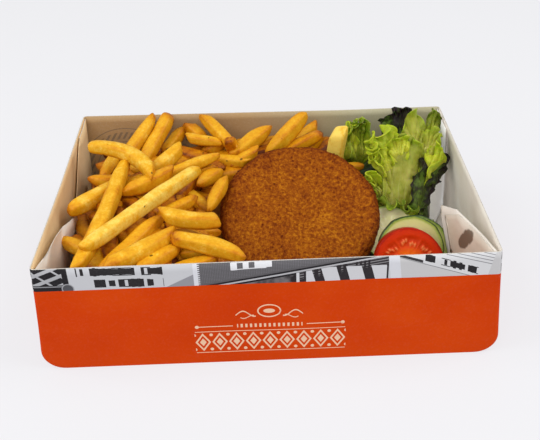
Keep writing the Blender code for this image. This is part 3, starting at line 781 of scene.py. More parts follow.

# %% [markdown]
# ## The chips
# The top layer of the heap is laid chip by chip, because it is what the eye reads. Each
# row of the list holds both ends, the thickness and the sideways bend in millimetres, and a tone
# that says how brown the chip is. Chips at the back and low in the heap have higher tones, which
# paint part of their shade in. The places are the same as in the imported solid. The patty's
# place comes here too, because the chips under it have to leave room for it.

# %% Where the visible chips lie
CHIPS = (
    # on top, at the left
    ((-102, -64, 66), (-41, 10, 72), 9.0, 0, 0.12),
    ((-104, -75, 60), (-88, 27, 70), 9.6, -2, 0.26),
    ((-112, 33, 78), (-68, 4, 70), 10.2, 11, 0.2),
    ((-61, -35, 71), (-26, -43, 68), 10.2, -4, 0.24),
    # along the back wall
    ((-94, 44, 58), (-74, 77, 78), 9.7, 0, 0.29),
    ((-80, 44, 58), (-64, 79, 77), 10.1, 0, 0.31),
    ((-70, 64, 54), (-54, 81, 64), 8.2, 0, 0.33),
    ((-52, 82, 66), (-38, 64, 58), 9.2, 0, 0.39),
    ((-42, 80, 74), (-18, 52, 62), 9.4, 0, 0.33),
    ((-52, 65, 66), (-28, 56, 65), 7.1, 0, 0.24),
    ((-22, 51, 70), (-20, 66, 50), 8.8, 0, 0.36),
    ((-20, 50, 57), (5, 69, 69), 10.2, 0, 0.29),
    ((-8, 60, 53), (10, 71, 59), 8.2, 0, 0.33),
    # the middle of the heap
    ((-40, 60, 56), (-26, 63, 62), 8.2, 0, 0.3),
    ((-76, 26, 57), (-53, 43, 70), 9.8, 0, 0.2),
    ((-66, 24, 58), (-28, 34, 68), 7.7, 2, 0.27),
    ((-34, 46, 58), (-9, 43, 57), 7.7, 0, 0.27),
    ((-34, 45, 49), (-14, 43, 49), 7.6, 0, 0.39),
    ((-20, 42, 56), (-3, 50, 62), 8.0, 0, 0.33),
    ((-44, 31, 57), (-31, 35, 59), 7.1, 0, 0.36),
    ((-42, 16, 56), (-28, 30, 59), 9.2, 0, 0.36),
    ((-34, -10, 54), (-25, 18, 60), 8.6, 0, 0.33),
    ((-88, -3, 65), (-57, 14, 69), 8.8, -2, 0.33),
    ((-96, 6, 55), (-58, -3, 55), 9.6, 0, 0.39),
    ((-95, 46, 55), (-72, 35, 56), 9.2, 0, 0.27),
    ((-92, 11, 58), (-74, 19, 62), 7.1, 0, 0.27),
    ((-64, -24, 58), (-41, -11, 64), 8.2, 0, 0.39),
    ((-50, 22, 48), (-36, -4, 48), 8.6, 0, 0.27),
    ((-44, -27, 46), (-28, -22, 46), 8.6, 0, 0.36),
    # the left side
    ((-113, 21, 61), (-88, 26, 56), 8.2, 0, 0.33),
    ((-119, -16, 61), (-84, 22, 60), 10.2, 0, 0.20),
    ((-106, 28, 57), (-97, 52, 62), 8.6, 0, 0.24),
    ((-97, -34, 51), (-90, -2, 58), 8.6, 0, 0.39),
    ((-120, -38, 55), (-92, -52, 48), 9.6, 0, 0.24),
    ((-109, -45, 46), (-88, -66, 50), 11.3, 0, 0.27),
    # along the front wall
    ((-92, -70, 55), (-60, -32, 65), 10.2, 0, 0.36),
    ((-88, -76, 61), (-51, -52, 66), 10.7, 0, 0.26),
    ((-52, -59, 68), (-13, -71, 61), 9.0, 2, 0.24),
    ((-48, -58, 57), (-21, -58, 59), 7.6, 0, 0.24),
    ((-72, -76, 57), (-47, -59, 62), 9.6, 0, 0.3),
    ((-57, -73, 54), (-27, -66, 58), 8.6, 0, 0.33),
    ((-55, -39, 56), (-36, -48, 56), 9.6, 0, 0.36),
    # low, in front of the patty
    ((-30, -72, 19), (24, -64, 19), 9.3, 0, 0.39),
    ((4, -76, 18), (54, -70, 19), 9.6, 0, 0.33),
    ((-24, -54, 20), (-6, -80, 20), 9.1, 0, 0.39),
    ((26, -62, 17), (56, -57, 17), 8.9, 0, 0.33),
    # behind the patty
    ((3, 49, 58), (30, 66, 79), 10.7, 0, 0.33),
    ((12, 50, 57), (40, 61, 67), 8.8, 0, 0.39),
    ((28, 55, 54), (41, 64, 62), 7.1, 0, 0.36),
    ((22, 66, 54), (38, 77, 66), 7.7, 0, 0.33),
    ((46, 50, 30), (51, 47, 76), 10.6, 0, -0.06),
    ((48, 46, 46), (67, 39, 52), 7.1, 0, 0.3),
)

PATTY_RADIUS = 51.5 * MM
PATTY_THICK = 14 * MM
PATTY_CENTRE = Vector((21.5, 0, 40)) * MM
PATTY_TILT = math.radians(30)
patty_frame = Matrix.Translation(PATTY_CENTRE) @ Matrix.Rotation(PATTY_TILT, 4, "X")
patty_inverse = patty_frame.inverted()
print(len(CHIPS), "chips laid by hand")

# %% [markdown]
# ### One chip as a stack of sections
# A chip is cut square and fried: its faces sink in a little, its ends are cut at a slant or run
# out thin, and its edges and ends brown first. A bevelled box would be too regular, so each chip
# is a stack of rounded-square sections along a bent middle line. The same sums that shape it also
# give each point its browning, with painted shade added on the chip's underside, and that number
# is stored at the vertices.

# %% One chip as a stack of sections
VISIBLE_DETAIL = (16, 18)  # points round a section, and sections between the ends
HIDDEN_DETAIL = (12, 10)
PALE_TONE = 0.1  # chips under this tone are blunt and hardly browned
CAP_STEPS = ((0.0, 0.50), (0.5, 0.72), (1.3, 0.87), (3.0, 0.96))


def end_taper(draw):
    """How much thinner a chip gets at an end: some are cut from the potato's tip."""
    if draw.random() < 0.42:
        return draw.uniform(0.40, 0.66)
    return draw.uniform(0.08, 0.32)


def chip_mesh(start, end, thick, bend, tone, draw, detail):
    """Points, and browning with painted underside shade, of one chip. The last two points are the centres of
    its ends.
    """
    section_points, middle_rings = detail
    along = end - start
    length = along.length
    half = length / 2
    places = [-half + MM * d for d, _ in CAP_STEPS]
    sizes = [s for _, s in CAP_STEPS]
    inner = half - MM * CAP_STEPS[-1][0]
    for i in range(1, middle_rings):
        places.append(-inner + 2 * inner * i / middle_rings)
        sizes.append(1.0)
    places += [half - MM * d for d, _ in reversed(CAP_STEPS)]
    sizes += [s for _, s in reversed(CAP_STEPS)]
    place = np.array(places)[:, None]
    size = np.array(sizes)[:, None]
    share = place / half
    t = (np.arange(section_points) + 0.5) * 2 * math.pi / section_points
    cos, sin = np.cos(t)[None, :], np.sin(t)[None, :]
    square = 2 / draw.uniform(2.7, 4.0)
    corner = np.abs(2 * cos * sin)
    sink = 1 - draw.uniform(0.03, 0.10) * (1 - corner)
    y = np.sign(cos) * np.abs(cos) ** square * sink
    z = np.sign(sin) * np.abs(sin) ** square * sink
    pale = tone < PALE_TONE
    tapers = [0.04, 0.04] if pale else [end_taper(draw), end_taper(draw)]
    taper = np.where(share < 0, *tapers)
    slim = 1 - taper * np.abs(share) ** 2.2
    phase = [draw.uniform(0, 6.28) for _ in range(4)]
    swell = 1 + 0.035 * np.sin(place / (7.5 * MM) + phase[0])
    swell += 0.025 * np.sin(place / (3.9 * MM) + phase[1])
    radius = thick / 2 * size * slim * swell
    wide, tall = draw.uniform(0.94, 1.05), draw.uniform(0.92, 1.03)
    slant_y, slant_z = draw.uniform(-1.0, 1.0), draw.uniform(-0.7, 0.7)
    near_end = np.clip(np.abs(share) * 3 - 2, 0, 1)
    twist = draw.uniform(-0.25, 0.25) * share
    y, z = y * np.cos(twist) - z * np.sin(twist), y * np.sin(twist) + z * np.cos(twist)
    y, z = y * radius * wide, z * radius * tall
    x = place + near_end * (slant_y * y + slant_z * z) + 0 * y
    sag = draw.uniform(-0.9, 0.9) * MM
    y = y + bend * (1 - share ** 2) + 0.5 * MM * np.sin(share * 2.6 + phase[2])
    z = z + sag * (1 - share ** 2)
    from_end = np.clip(half - np.abs(place), 0, None)
    tip = np.exp(-from_end / (4.2 * MM)) * draw.uniform(0.45, 1.15)
    rough_side = 0.5 + 0.5 * np.sin(place / (6 * MM) + phase[3])
    # Painted shade: the underside of each chip is made darker.
    under = np.clip(-sin, 0, 1) * 0.16
    edges = corner ** 4 * draw.uniform(0.3, 1.2) * rough_side
    toasted = 0.15 if pale else 1
    brown = tone + toasted * (0.36 * tip + 0.34 * edges) + under + 0 * y
    local = np.stack([x, y, z], axis=-1).reshape(-1, 3)
    caps = np.array([[np.mean(x[0]) + 0.4 * MM, np.mean(y[0]), np.mean(z[0])],
                     [np.mean(x[-1]) - 0.4 * MM, np.mean(y[-1]), np.mean(z[-1])]])
    local = np.vstack([local, caps])
    brown = np.concatenate([brown.reshape(-1), [tone + 0.3, tone + 0.3]])
    turn = np.array(along.to_track_quat("X", "Z").to_matrix())
    middle = np.array((start + end) / 2)
    return local @ turn.T + middle, brown, len(places)


print("a visible chip has", VISIBLE_DETAIL[0] * (VISIBLE_DETAIL[1] + 2 * len(CAP_STEPS) - 1) + 2, "points")

# %% [markdown]
# ### Chips underneath, by rule
# Between the listed chips one sees more chips, not a lump. A seeded rule throws
# them in: it tries a place, a heading and a length, and keeps the chip if it stays inside the tray
# and clear of the patty. They are laid in layers, and more of them lie low in front of the patty,
# where only a look from above reaches.

# %% Chips underneath, by rule
def clear_of_patty(point, margin):
    """True where a point is under the leaning patty or beside it, by the margin."""
    spot = patty_inverse @ point
    flat = math.hypot(spot.x, spot.y)
    return spot.z < -PATTY_THICK / 2 - margin or flat > PATTY_RADIUS + margin


WEBS_BEGIN = -45 * MM
WEBS_REACH = 14 * MM


def inside_tray(point, margin):
    """True where a point is inside the walls by the margin, and clear of the front webs."""
    limit_x = RIM_HALF - margin
    if point.y < WEBS_BEGIN:
        limit_x -= WEBS_REACH
    return abs(point.x) < limit_x and abs(point.y) < DEPTH_HALF - margin


# each patch: height, how many, and its left, right, front and back end, in millimetres
HEAP_FILL = ((30, 26, -112, 40, -80, 80), (38, 36, -112, 40, -80, 80), (46, 46, -112, 40, -80, 80),
             (53, 44, -112, 40, -80, 80))
LOW_FILL = ((12, 16, -26, 54, -78, -30), (18, 26, -26, 54, -78, -30), (24, 10, -26, 20, -74, -34),
            (52, 14, -10, 60, 56, 82), (46, 12, -24, 56, 40, 80), (40, 10, -30, 0, -40, 40),
            (34, 12, -40, -14, -70, -16), (44, 12, -44, -20, -66, -16), (28, 8, -40, -8, -74, -20))
MOST_TRIES = 900
WALL_FALL = 0.35  # how much the heap falls for each millimetre that it nears a wall


def filler_chips(draw, patches, low_in_front):
    """Ends, thickness, bend and tone of chips thrown into the patches.

    Beside the front wall a chip stays below low_in_front, and the right side is left to the salad.
    """
    found = []
    for level, wanted, left, right, front, rear in patches:
        tries = 0
        laid = 0
        while laid < wanted and tries < MOST_TRIES:
            tries += 1
            x, y = draw.uniform(left, right), draw.uniform(front, rear)
            outer = max(0, abs(y) - 62) + max(0, -x - 100)
            z = level - WALL_FALL * outer * (level > 25) + draw.uniform(-2, 2)
            length = draw.uniform(34, 64)
            heading, pitch = draw.uniform(0, math.pi), draw.uniform(-0.16, 0.16)
            step = Vector((math.cos(heading), math.sin(heading), math.sin(pitch))) * (length / 2)
            middle = Vector((x, y, z))
            ends = [(middle - step) * MM, (middle + step) * MM]
            checks = [ends[0].lerp(ends[1], k / 6) for k in range(7)]
            thick = draw.uniform(9.8, 12.2) * MM
            fits = all(clear_of_patty(p, thick * 0.62) and inside_tray(p, thick * 0.75) for p in checks)
            in_front = any(p.y < -44 * MM and p.x > -24 * MM and p.z > low_in_front for p in checks)
            by_salad = any(p.x > (40 if level > 25 and y < 50 else 62) * MM for p in checks)
            if fits and not in_front and not by_salad and min(p.z for p in checks) > 7 * MM:
                # Chips underneath get higher tones than those on top: painted shade for the depth of the
                # heap.
                found.append((*ends, thick, draw.uniform(-2, 2) * MM, draw.uniform(0.45, 0.8)))
                laid += 1
    return found


print("chips wanted underneath:", sum(patch[1] for patch in HEAP_FILL + LOW_FILL))

# %% [markdown]
# ### The finish of fried potato
# Frying takes potato from pale straw over gold to brown, so one ramp with five paints holds the
# whole range, and the stored number says where on it each point lies. That number is browning with
# painted shade in it: darker undersides, and higher tones for chips at the back, low down and
# underneath. Two sizes of noise break it up, tiny dark specks and a rare eye of the potato are laid
# over it, and the same noise gives the blistered skin its relief. A little light goes into the chip.

# %% The finish of fried potato
def fried_potato():
    finish = Finish("fried potato", Subsurface_Weight=0.05, Subsurface_Radius=(0.9, 0.45, 0.15),
                    Subsurface_Scale=2 * MM, Specular_IOR_Level=0.20)
    brown = finish.stored("brown")
    patches = finish.cloud(150, 4, 0.6)
    grain = finish.cloud(620, 3, 0.6)
    level = brown + (patches - 0.5) * 0.60 + (grain - 0.5) * 0.45
    colour = finish.ramp(
        level,
        (0.02, paint("ECCB5C")),
        (0.26, paint("DDA41C")),
        (0.50, paint("CC8605")),
        (0.76, paint("A85C03")),
        (0.97, paint("642A02")),
    )
    specks = finish.ramp(finish.cloud(900, 2, 0.5), (0.68, (0, 0, 0)), (0.78, (1, 1, 1)))
    colour = finish.mix(0.4 * specks, colour, paint("8A4604"))
    eyes = finish.ramp(finish.cloud(210, 1, 0.3), (0.775, (0, 0, 0)), (0.80, (1, 1, 1)))
    colour = finish.mix(0.8 * eyes, colour, paint("3A1E06"))
    finish.out(Base_Color=colour, Roughness=0.38 + 0.22 * patches)
    finish.bump(0.8 * patches + 0.35 * grain, 0.5 * MM, 0.7)
    return finish.material


print("browning is the place on one ramp of 5 paints")

# %% [markdown]
# ### Join the chips
# Hundreds of objects would be slow to handle, and the chips ride on one body, so all of them
# become one mesh. Chips in the list get finer sections than those underneath. The random numbers
# are drawn in a fixed order, so every run gives the same heap.

# %% Join the chips
HEAP_IN_FRONT = 16 * MM
LOW_IN_FRONT = 30 * MM


def build_chips():
    """All chips as one piece, with the browning and painted shade of every point."""
    draw = random.Random(11)
    laid = []
    for start, end, thick, bend, tone in CHIPS:
        laid.append((Vector(start) * MM, Vector(end) * MM, thick * MM, bend * MM, tone))
    laid += filler_chips(draw, HEAP_FILL, HEAP_IN_FRONT)
    laid += filler_chips(random.Random(5), LOW_FILL, LOW_IN_FRONT)
    points, faces, browns_and_shades = [], [], []
    total = 0
    for number, (start, end, thick, bend, tone) in enumerate(laid):
        detail = VISIBLE_DETAIL if number < len(CHIPS) else HIDDEN_DETAIL
        local, brown, rings = chip_mesh(start, end, thick, bend, tone, draw, detail)
        faces += stack_faces(rings, detail[0], total)
        points.append(local)
        browns_and_shades.append(brown)
        total += len(local)
    points = np.vstack(points)
    browns_and_shades = np.concatenate(browns_and_shades)
    print(len(laid), "chips")
    numbers = {"brown": browns_and_shades}
    return make_piece("chips_fried", points, faces, [fried_potato()], numbers, ("chips",))


build_chips()

# %% [markdown]
# ### The core of the heap
# Deep between the chips no light comes back, and single chips there would only cost time. A lumpy
# mound fills that space, in the dark gold of chips in shadow, low enough that it never shows as a
# surface of its own. It is a stack of rings again, on a rounded plan with a ragged edge, and it
# dips where the patty lies over it.

# %% Mounds under the heap
def mound(name, low, high, crown, lump, material, nodes):
    """A lumpy heap between two corners in plan, crown millimetres high."""
    rings, segments = 20, 110
    middle = ((low[0] + high[0]) / 2, (low[1] + high[1]) / 2)
    half = ((high[0] - low[0]) / 2, (high[1] - low[1]) / 2)
    points = []
    for ring in range(1, rings + 1):
        out = ring / rings
        for k in range(segments):
            angle = 2 * math.pi * k / segments
            cos, sin = math.cos(angle), math.sin(angle)
            plan = (abs(cos) ** 5 + abs(sin) ** 5) ** -0.2
            ragged = 0.96 + 0.10 * noise.noise(Vector((cos * 2.6, sin * 2.6, crown)))
            x = middle[0] + half[0] * out * plan * cos * ragged
            y = middle[1] + half[1] * out * plan * sin * ragged
            fall = 1 - out ** 5
            rise = noise.noise(Vector((x, y, 0)) / 9) * lump
            rise += noise.noise(Vector((x, y, 7)) / 3.5) * lump * 0.4
            z = crown * fall ** 0.5 + rise * fall
            spot = patty_inverse @ (Vector((x, y, z)) * MM)
            if math.hypot(spot.x, spot.y) < PATTY_RADIUS + 3 * MM:
                under = patty_frame @ Vector((spot.x, spot.y, -PATTY_THICK / 2 - 1.5 * MM))
                z = min(z, under.z / MM)
            points.append((x * MM, y * MM, max(z, 1.4) * MM))
    points.append((points[0][0], points[0][1], points[0][2]))
    points.append((middle[0] * MM, middle[1] * MM, 1.2 * MM))
    return make_piece(name, points, stack_faces(rings, segments), [material], None, nodes)


def deep_gold():
    finish = Finish("chips in shadow", Roughness=0.6)
    blotch = finish.cloud(130, 4, 0.6)
    gold = finish.ramp(blotch, (0.3, paint("6A3206")), (0.55, paint("A2610F")), (0.75, paint("C98A20")))
    finish.out(Base_Color=gold)
    finish.bump(blotch, 1.5 * MM)
    return finish.material


core_gold = deep_gold()
mound("chips_core_left", (-110, -81), (-16, 83), 44, 4, core_gold, ("chips",))
mound("chips_core_bed", (-28, -36), (50, 52), 44, 3, core_gold, ("chips",))
mound("chips_core_back", (-30, 34), (36, 83), 50, 3, core_gold, ("chips",))
mound("chips_core_front", (-26, -80), (56, -20), 12, 2, core_gold, ("chips",))

# %% [markdown]
# ## The breaded patty
# Crumb is a surface of small heaped grains, so relief alone in the shader would look painted. The
# disc's rings are about 0.6 mm apart and every point is pushed out by cell noise at two sizes,
# which gives separate grains that cast their own shadows. The same numbers say how dark each grain
# is, because the grains that stand proud fry first.

# %% Crumb relief and browning
def crumb(point):
    """Height of the crumb in metres and its browning from 0 to 1, at a point of the bare disc."""
    coarse, spots = noise.voronoi(point / (2.1 * MM))
    fine = noise.voronoi(point / (1.0 * MM))[0]
    grain = noise.cell(spots[0] * 9.7)
    low = noise.noise(point / (13 * MM))
    patch = noise.noise(point / (5 * MM) + Vector((3, 8, 1)))
    height = (0.6 - coarse[0]) * (0.5 + 0.8 * abs(grain)) * 1.1 + (0.5 - fine[0]) * 0.55 + low * 0.8
    toast = 0.5 + 0.09 * grain + 0.05 * patch + 0.08 * low
    toast = toast + 0.32 * (0.45 - coarse[0]) + 0.34 * (0.4 - fine[0])
    return height * MM, toast


print("crumb in the middle of the disc: height and browning", crumb(Vector((0, 0, PATTY_THICK / 2))))

# %% [markdown]
# ### The patty's disc
# The patty is a thick disc with a fully round edge, a little out of round, as a mould and a
# coating of crumb leave it. Most rings go to the top and the edge, which show, and few to the
# underside. The rim is thinner there, so it browns before the middle.

# %% The patty's disc
TOP_RINGS, EDGE_RINGS, UNDER_RINGS = 74, 36, 10
CRUMB_SUNK = 0.9 * MM  # the disc is drawn in by this, so that the grains don't make it larger


def patty_profile(flat, edge_radius):
    """Distance from the middle and height of each ring: top, round edge, underside."""
    profile = []
    for i in range(1, TOP_RINGS + 1):
        crown = 0.3 * MM * math.cos(math.pi * i / (2 * TOP_RINGS))
        profile.append((flat * i / TOP_RINGS, edge_radius + crown))
    for i in range(1, EDGE_RINGS):
        angle = math.pi / 2 - math.pi * i / EDGE_RINGS
        profile.append((flat + edge_radius * math.cos(angle), edge_radius * math.sin(angle)))
    profile += [(flat * (1 - i / UNDER_RINGS), -edge_radius) for i in range(UNDER_RINGS)]
    return profile


def build_patty():
    """The disc with crumb on it, at its place in the tray, with the browning of every point."""
    segments = 420
    edge_radius = PATTY_THICK / 2
    flat = PATTY_RADIUS - edge_radius
    profile = patty_profile(flat, edge_radius)
    points, toasts = [], []
    for radius, z in profile:
        outward = Vector((0, math.copysign(1, z)))
        if radius > flat:
            outward = Vector((radius - flat, z)).normalized()
        for k in range(segments):
            angle = 2 * math.pi * k / segments
            out_of_round = 1 + 0.008 * math.sin(3 * angle + 1) + 0.006 * math.sin(7 * angle)
            cos, sin = math.cos(angle), math.sin(angle)
            bare = Vector((radius * cos * out_of_round, radius * sin * out_of_round, z))
            height, toast = crumb(bare)
            push = Vector((outward.x * cos, outward.x * sin, outward.y))
            rim = min(max((radius - flat) / edge_radius, 0), 1)
            points.append(patty_frame @ (bare + push * (height - CRUMB_SUNK)))
            toasts.append(toast + 0.16 * rim + 0.14 * (radius / PATTY_RADIUS) ** 4)
    points += [patty_frame @ Vector((0, 0, edge_radius)), patty_frame @ Vector((0, 0, -edge_radius))]
    toasts += [0.5, 0.5]
    faces = stack_faces(len(profile), segments)
    numbers = {"toast": toasts}
    return make_piece("patty_crumbed", points, faces, [fried_crumb()], numbers, ("patty",))


print("the patty has", TOP_RINGS + EDGE_RINGS - 1 + UNDER_RINGS, "rings")

# %% [markdown]
# ### The finish of fried crumb
# Dark gold turns to deep brown where a grain stands proud or lies near the rim. The relief carries
# the large grains, and two sizes of noise in the shader add the small ones, in colour and in bump.
# Fried crumb is dry on top, so it hardly shines.

# %% The finish of fried crumb
def fried_crumb():
    finish = Finish("fried crumb", Specular_IOR_Level=0.08)
    toast = finish.stored("toast")
    grain = finish.cloud(1300, 3, 0.65)
    flecks = finish.cloud(520, 3, 0.6)
    level = toast + (grain - 0.5) * 0.9 + (flecks - 0.5) * 0.95
    colour = finish.ramp(
        level,
        (0.10, paint("B4700E")),
        (0.36, paint("955005")),
        (0.56, paint("803D02")),
        (0.78, paint("622501")),
        (0.98, paint("441401")),
    )
    finish.out(Base_Color=colour, Roughness=0.55 + 0.2 * grain)
    finish.bump(grain, 0.5 * MM, 0.8)
    return finish.material


build_patty()

# %% [markdown]
# ## Cucumber and tomato slices
# A slice is a disc whose face is built of rings close enough together to carry real relief: seeds,
# the sunk seed chambers and the raised rind. What part of the slice a point belongs to follows
# from its distance from the middle, which is stored at the vertices, and the shader's ramp turns
# that distance into skin, flesh or pulp.

# %% A slice with relief on its face
def slice_points(radius, thick, tilt, centre, relief, edge_shape, segments=144, rings=52):
    """Points of a slice with the numbers spoke (0 in the middle, 1 at the skin) and mark."""
    turn = Matrix.Translation(Vector(centre)) @ Matrix.Rotation(math.radians(tilt), 4, "X")
    bevel = 0.5 * MM
    profile = [(radius - bevel) * (i / rings) for i in range(1, rings + 1)]
    shape = [(r, thick / 2, 1) for r in profile]
    shape += [(radius - bevel * 0.3, thick / 2 - bevel * 0.3, 0.4), (radius, thick / 2 - bevel, 0)]
    shape += [(radius, 0, 0), (radius, -thick / 2 + bevel, 0)]
    shape += [(radius - bevel * 0.3, -thick / 2 + bevel * 0.3, 0)]
    shape += [(r, -thick / 2, 0) for r in (radius - bevel, radius * 0.8, radius * 0.5, radius * 0.2)]
    points, spokes, marks = [], [], []
    for r, z, share in shape:
        for k in range(segments):
            angle = 2 * math.pi * k / segments
            lift, mark = relief(r / radius, angle)
            wide = r * (1 + edge_shape(angle) * (r / radius) ** 3)
            spot = Vector((wide * math.cos(angle), wide * math.sin(angle), z + lift * share))
            points.append(turn @ spot)
            spokes.append(min(r / radius + (0.02 if share < 1 and r > radius * 0.9 else 0), 1.02))
            marks.append(mark if share == 1 else 0)
    points += [turn @ Vector((0, 0, thick / 2)), turn @ Vector((0, 0, -thick / 2))]
    spokes += [0, 0]
    marks += [0, 0]
    return points, stack_faces(len(shape), segments), {"spoke": spokes, "mark": marks}


def seed_marks(seeds, reach, angle):
    """How much the point belongs to a seed: seeds are (reach, angle, length, width) on a unit disc."""
    best = 0.0
    x, y = reach * math.cos(angle), reach * math.sin(angle)
    for seed_reach, seed_angle, length, width in seeds:
        dx = x - seed_reach * math.cos(seed_angle)
        dy = y - seed_reach * math.sin(seed_angle)
        along = dx * math.cos(seed_angle) + dy * math.sin(seed_angle)
        across = -dx * math.sin(seed_angle) + dy * math.cos(seed_angle)
        away = (along / length) ** 2 + (across / width) ** 2
        if away < 4:
            best = max(best, math.exp(-away))
    return best


print("the middle of a seed has the mark", seed_marks([(0.5, 0, 0.1, 0.1)], 0.5, 0))

# %% [markdown]
# ### Cucumber
# A cucumber slice is pale in the middle, a little greener towards the rind, and its skin is a thin
# dark line. Its seeds lie in three groups. Two of the slices lean behind the tomato, and the third
# lies in the shade of the leaves. Its flesh inside the rind is painted much lighter, painted light
# that makes up for that shade, and the other two get a trace of the same.

# %% Cucumber
def cucumber_flesh(name, painted_light):
    finish = Finish(name, Subsurface_Weight=0.25, Subsurface_Radius=(0.6, 0.8, 0.25),
                    Subsurface_Scale=3 * MM, Specular_IOR_Level=0.3, Coat_Weight=0.12, Coat_Roughness=0.15)
    spoke, mark = finish.stored("spoke"), finish.stored("mark")
    cells = finish.cloud(420, 3, 0.6)
    place = spoke + (cells - 0.5) * 0.05
    colour = finish.ramp(
        place,
        (0.10, paint("B4AF62")),
        (0.52, paint("B6B262")),
        (0.62, paint("C4BC80")),
        (0.86, paint("BFBC74")),
        (0.935, paint("9FB04C")),
        (0.972, paint("4C6414")),
        (0.995, paint("243A0A")),
    )
    colour = finish.mix(0.6 * mark, colour, paint("DAD6A8"))
    # Painted light: the flesh inside the rind is lightened by the given share.
    inside_rind = ((0.93 - spoke) * 20).clamped()
    colour = finish.mix(inside_rind * painted_light, colour, paint("F0E8BC"))
    finish.out(Base_Color=colour, Roughness=0.28 + 0.25 * cells)
    finish.bump(cells, 0.4 * MM, 0.5)
    return finish.material


def cucumber_relief(seed):
    draw = random.Random(seed)
    seeds = []
    for lobe in range(3):
        for _ in range(7):
            angle = lobe * 2.094 + draw.uniform(-0.75, 0.75)
            seeds.append((draw.uniform(0.26, 0.56), angle, 0.085, 0.030))

    def relief(reach, angle):
        mark = seed_marks(seeds, reach, angle)
        lobe = 0.25 * math.cos(3 * angle) * math.exp(-(((reach - 0.38) / 0.2) ** 2))
        rind = 0.25 if reach > 0.93 else 0
        return (0.3 * mark - 0.25 * lobe + rind - 0.2) * MM, mark

    return relief


def rind_ribs(angle):
    return 0.010 * math.cos(9 * angle) + 0.004 * math.cos(17 * angle + 1)


# each slice: name, centre in millimetres, radius, thickness, tilt in degrees, seed
CUCUMBERS = (
    ("cucumber_front", (86.3, -37.6, 39.0), 19.5, 4.5, 60, 3),
    ("cucumber_behind", (90.0, -33.4, 36.2), 19.5, 4.5, 60, 4),
    ("cucumber_back", (79.0, -1.2, 25.0), 19.0, 4.5, 33, 5),
)
flesh = cucumber_flesh("cucumber", 0.04)
lightened_flesh = cucumber_flesh("cucumber lightened for shade", 0.5)
for name, centre, radius, thick, tilt, seed in CUCUMBERS:
    shape = slice_points(radius * MM, thick * MM, tilt, Vector(centre) * MM, cucumber_relief(seed), rind_ribs)
    finish = lightened_flesh if name == "cucumber_back" else flesh
    make_piece(f"{name}_slice", shape[0], shape[1], [finish], shape[2], (name,))
print(len(CUCUMBERS), "cucumber slices")

# %% [markdown]
# ### Tomato
# A tomato slice has a ring of firm red flesh, sunk chambers full of seeds in jelly, and walls
# between them that meet in a paler heart. Each chamber is a dip in the relief, and its seeds are
# bumps that stand in it. Wet fruit would mirror the lights, but this one stands at an angle where
# the shine hardly shows, so the coat is thin.

# %% Tomato
TOMATO_CHAMBERS = 6


def tomato_relief():
    draw = random.Random(21)
    seeds = []
    for chamber in range(TOMATO_CHAMBERS):
        middle = (chamber + 0.5) * 2 * math.pi / TOMATO_CHAMBERS
        for k in range(6):
            angle = middle + (k - 2.5) * 0.135 + draw.uniform(-0.03, 0.03)
            seeds.append((draw.uniform(0.53, 0.70), angle, 0.062, 0.034))

    def relief(reach, angle):
        mark = seed_marks(seeds, reach, angle)
        between = abs(math.sin(TOMATO_CHAMBERS * angle / 2)) ** 0.35
        chamber = math.exp(-(((reach - 0.61) / 0.15) ** 4)) * between
        ridge = 0.15 * math.sin(11 * angle + 9 * reach) * math.exp(-((reach / 0.4) ** 4))
        return (-0.75 * chamber + 0.85 * mark + ridge) * MM, mark + 1.2 * chamber * (mark < 0.25) * -1

    return relief


def tomato_edge(angle):
    return 0.012 * math.cos(3 * angle + 0.6) + 0.006 * math.cos(5 * angle)


def tomato_flesh():
    finish = Finish("tomato", Subsurface_Weight=0.2, Subsurface_Radius=(1.0, 0.25, 0.1),
                    Subsurface_Scale=3 * MM, Specular_IOR_Level=0.10, Coat_Weight=0.02, Coat_Roughness=0.15)
    spoke, mark = finish.stored("spoke"), finish.stored("mark")
    streak = finish.cloud(260, 4, 0.6)
    place = spoke + (streak - 0.5) * 0.16
    colour = finish.ramp(
        place,
        (0.06, paint("EC8630")),
        (0.30, paint("E66A16")),
        (0.46, paint("D64608")),
        (0.70, paint("CA3404")),
        (0.93, paint("C22A02")),
        (0.99, paint("9A1602")),
    )
    pulp = (mark * -1).clamped()
    colour = finish.mix(0.55 * pulp, colour, paint("B42C04"))
    colour = finish.mix(0.70 * mark.clamped(), colour, paint("E08A50"))
    finish.out(Base_Color=colour, Roughness=0.30 + 0.2 * streak)
    finish.bump(streak, 0.4 * MM, 0.5)
    return finish.material


TOMATO_RADIUS, TOMATO_THICK, TOMATO_TILT = 20.4 * MM, 9 * MM, 60
TOMATO_CENTRE = Vector((83.2, -47.5, 36.1)) * MM
tomato = slice_points(
    TOMATO_RADIUS, TOMATO_THICK, TOMATO_TILT, TOMATO_CENTRE, tomato_relief(), tomato_edge, 180, 64
)
make_piece("tomato_slice", tomato[0], tomato[1], [tomato_flesh()], tomato[2], ("tomato",))
print("tomato slice", round(2 * TOMATO_RADIUS / MM, 1), "mm across")

# %% [markdown]
# ## The lettuce
# The salad is a torn bunch of frilly lettuce: pale heart leaves in front, light frills at the
# upper left, dark red-green leaves behind and down the right side, and two leaves lying flat under
# the slices. Each row of the list is one leaf, drawn as a fan. It gives the leaf's base, the left,
# top and right ends of its margin, half the width of its base, how far it bulges to the front, how
# high its ruffles are, how many there are, and its tone. Lengths are in millimetres.

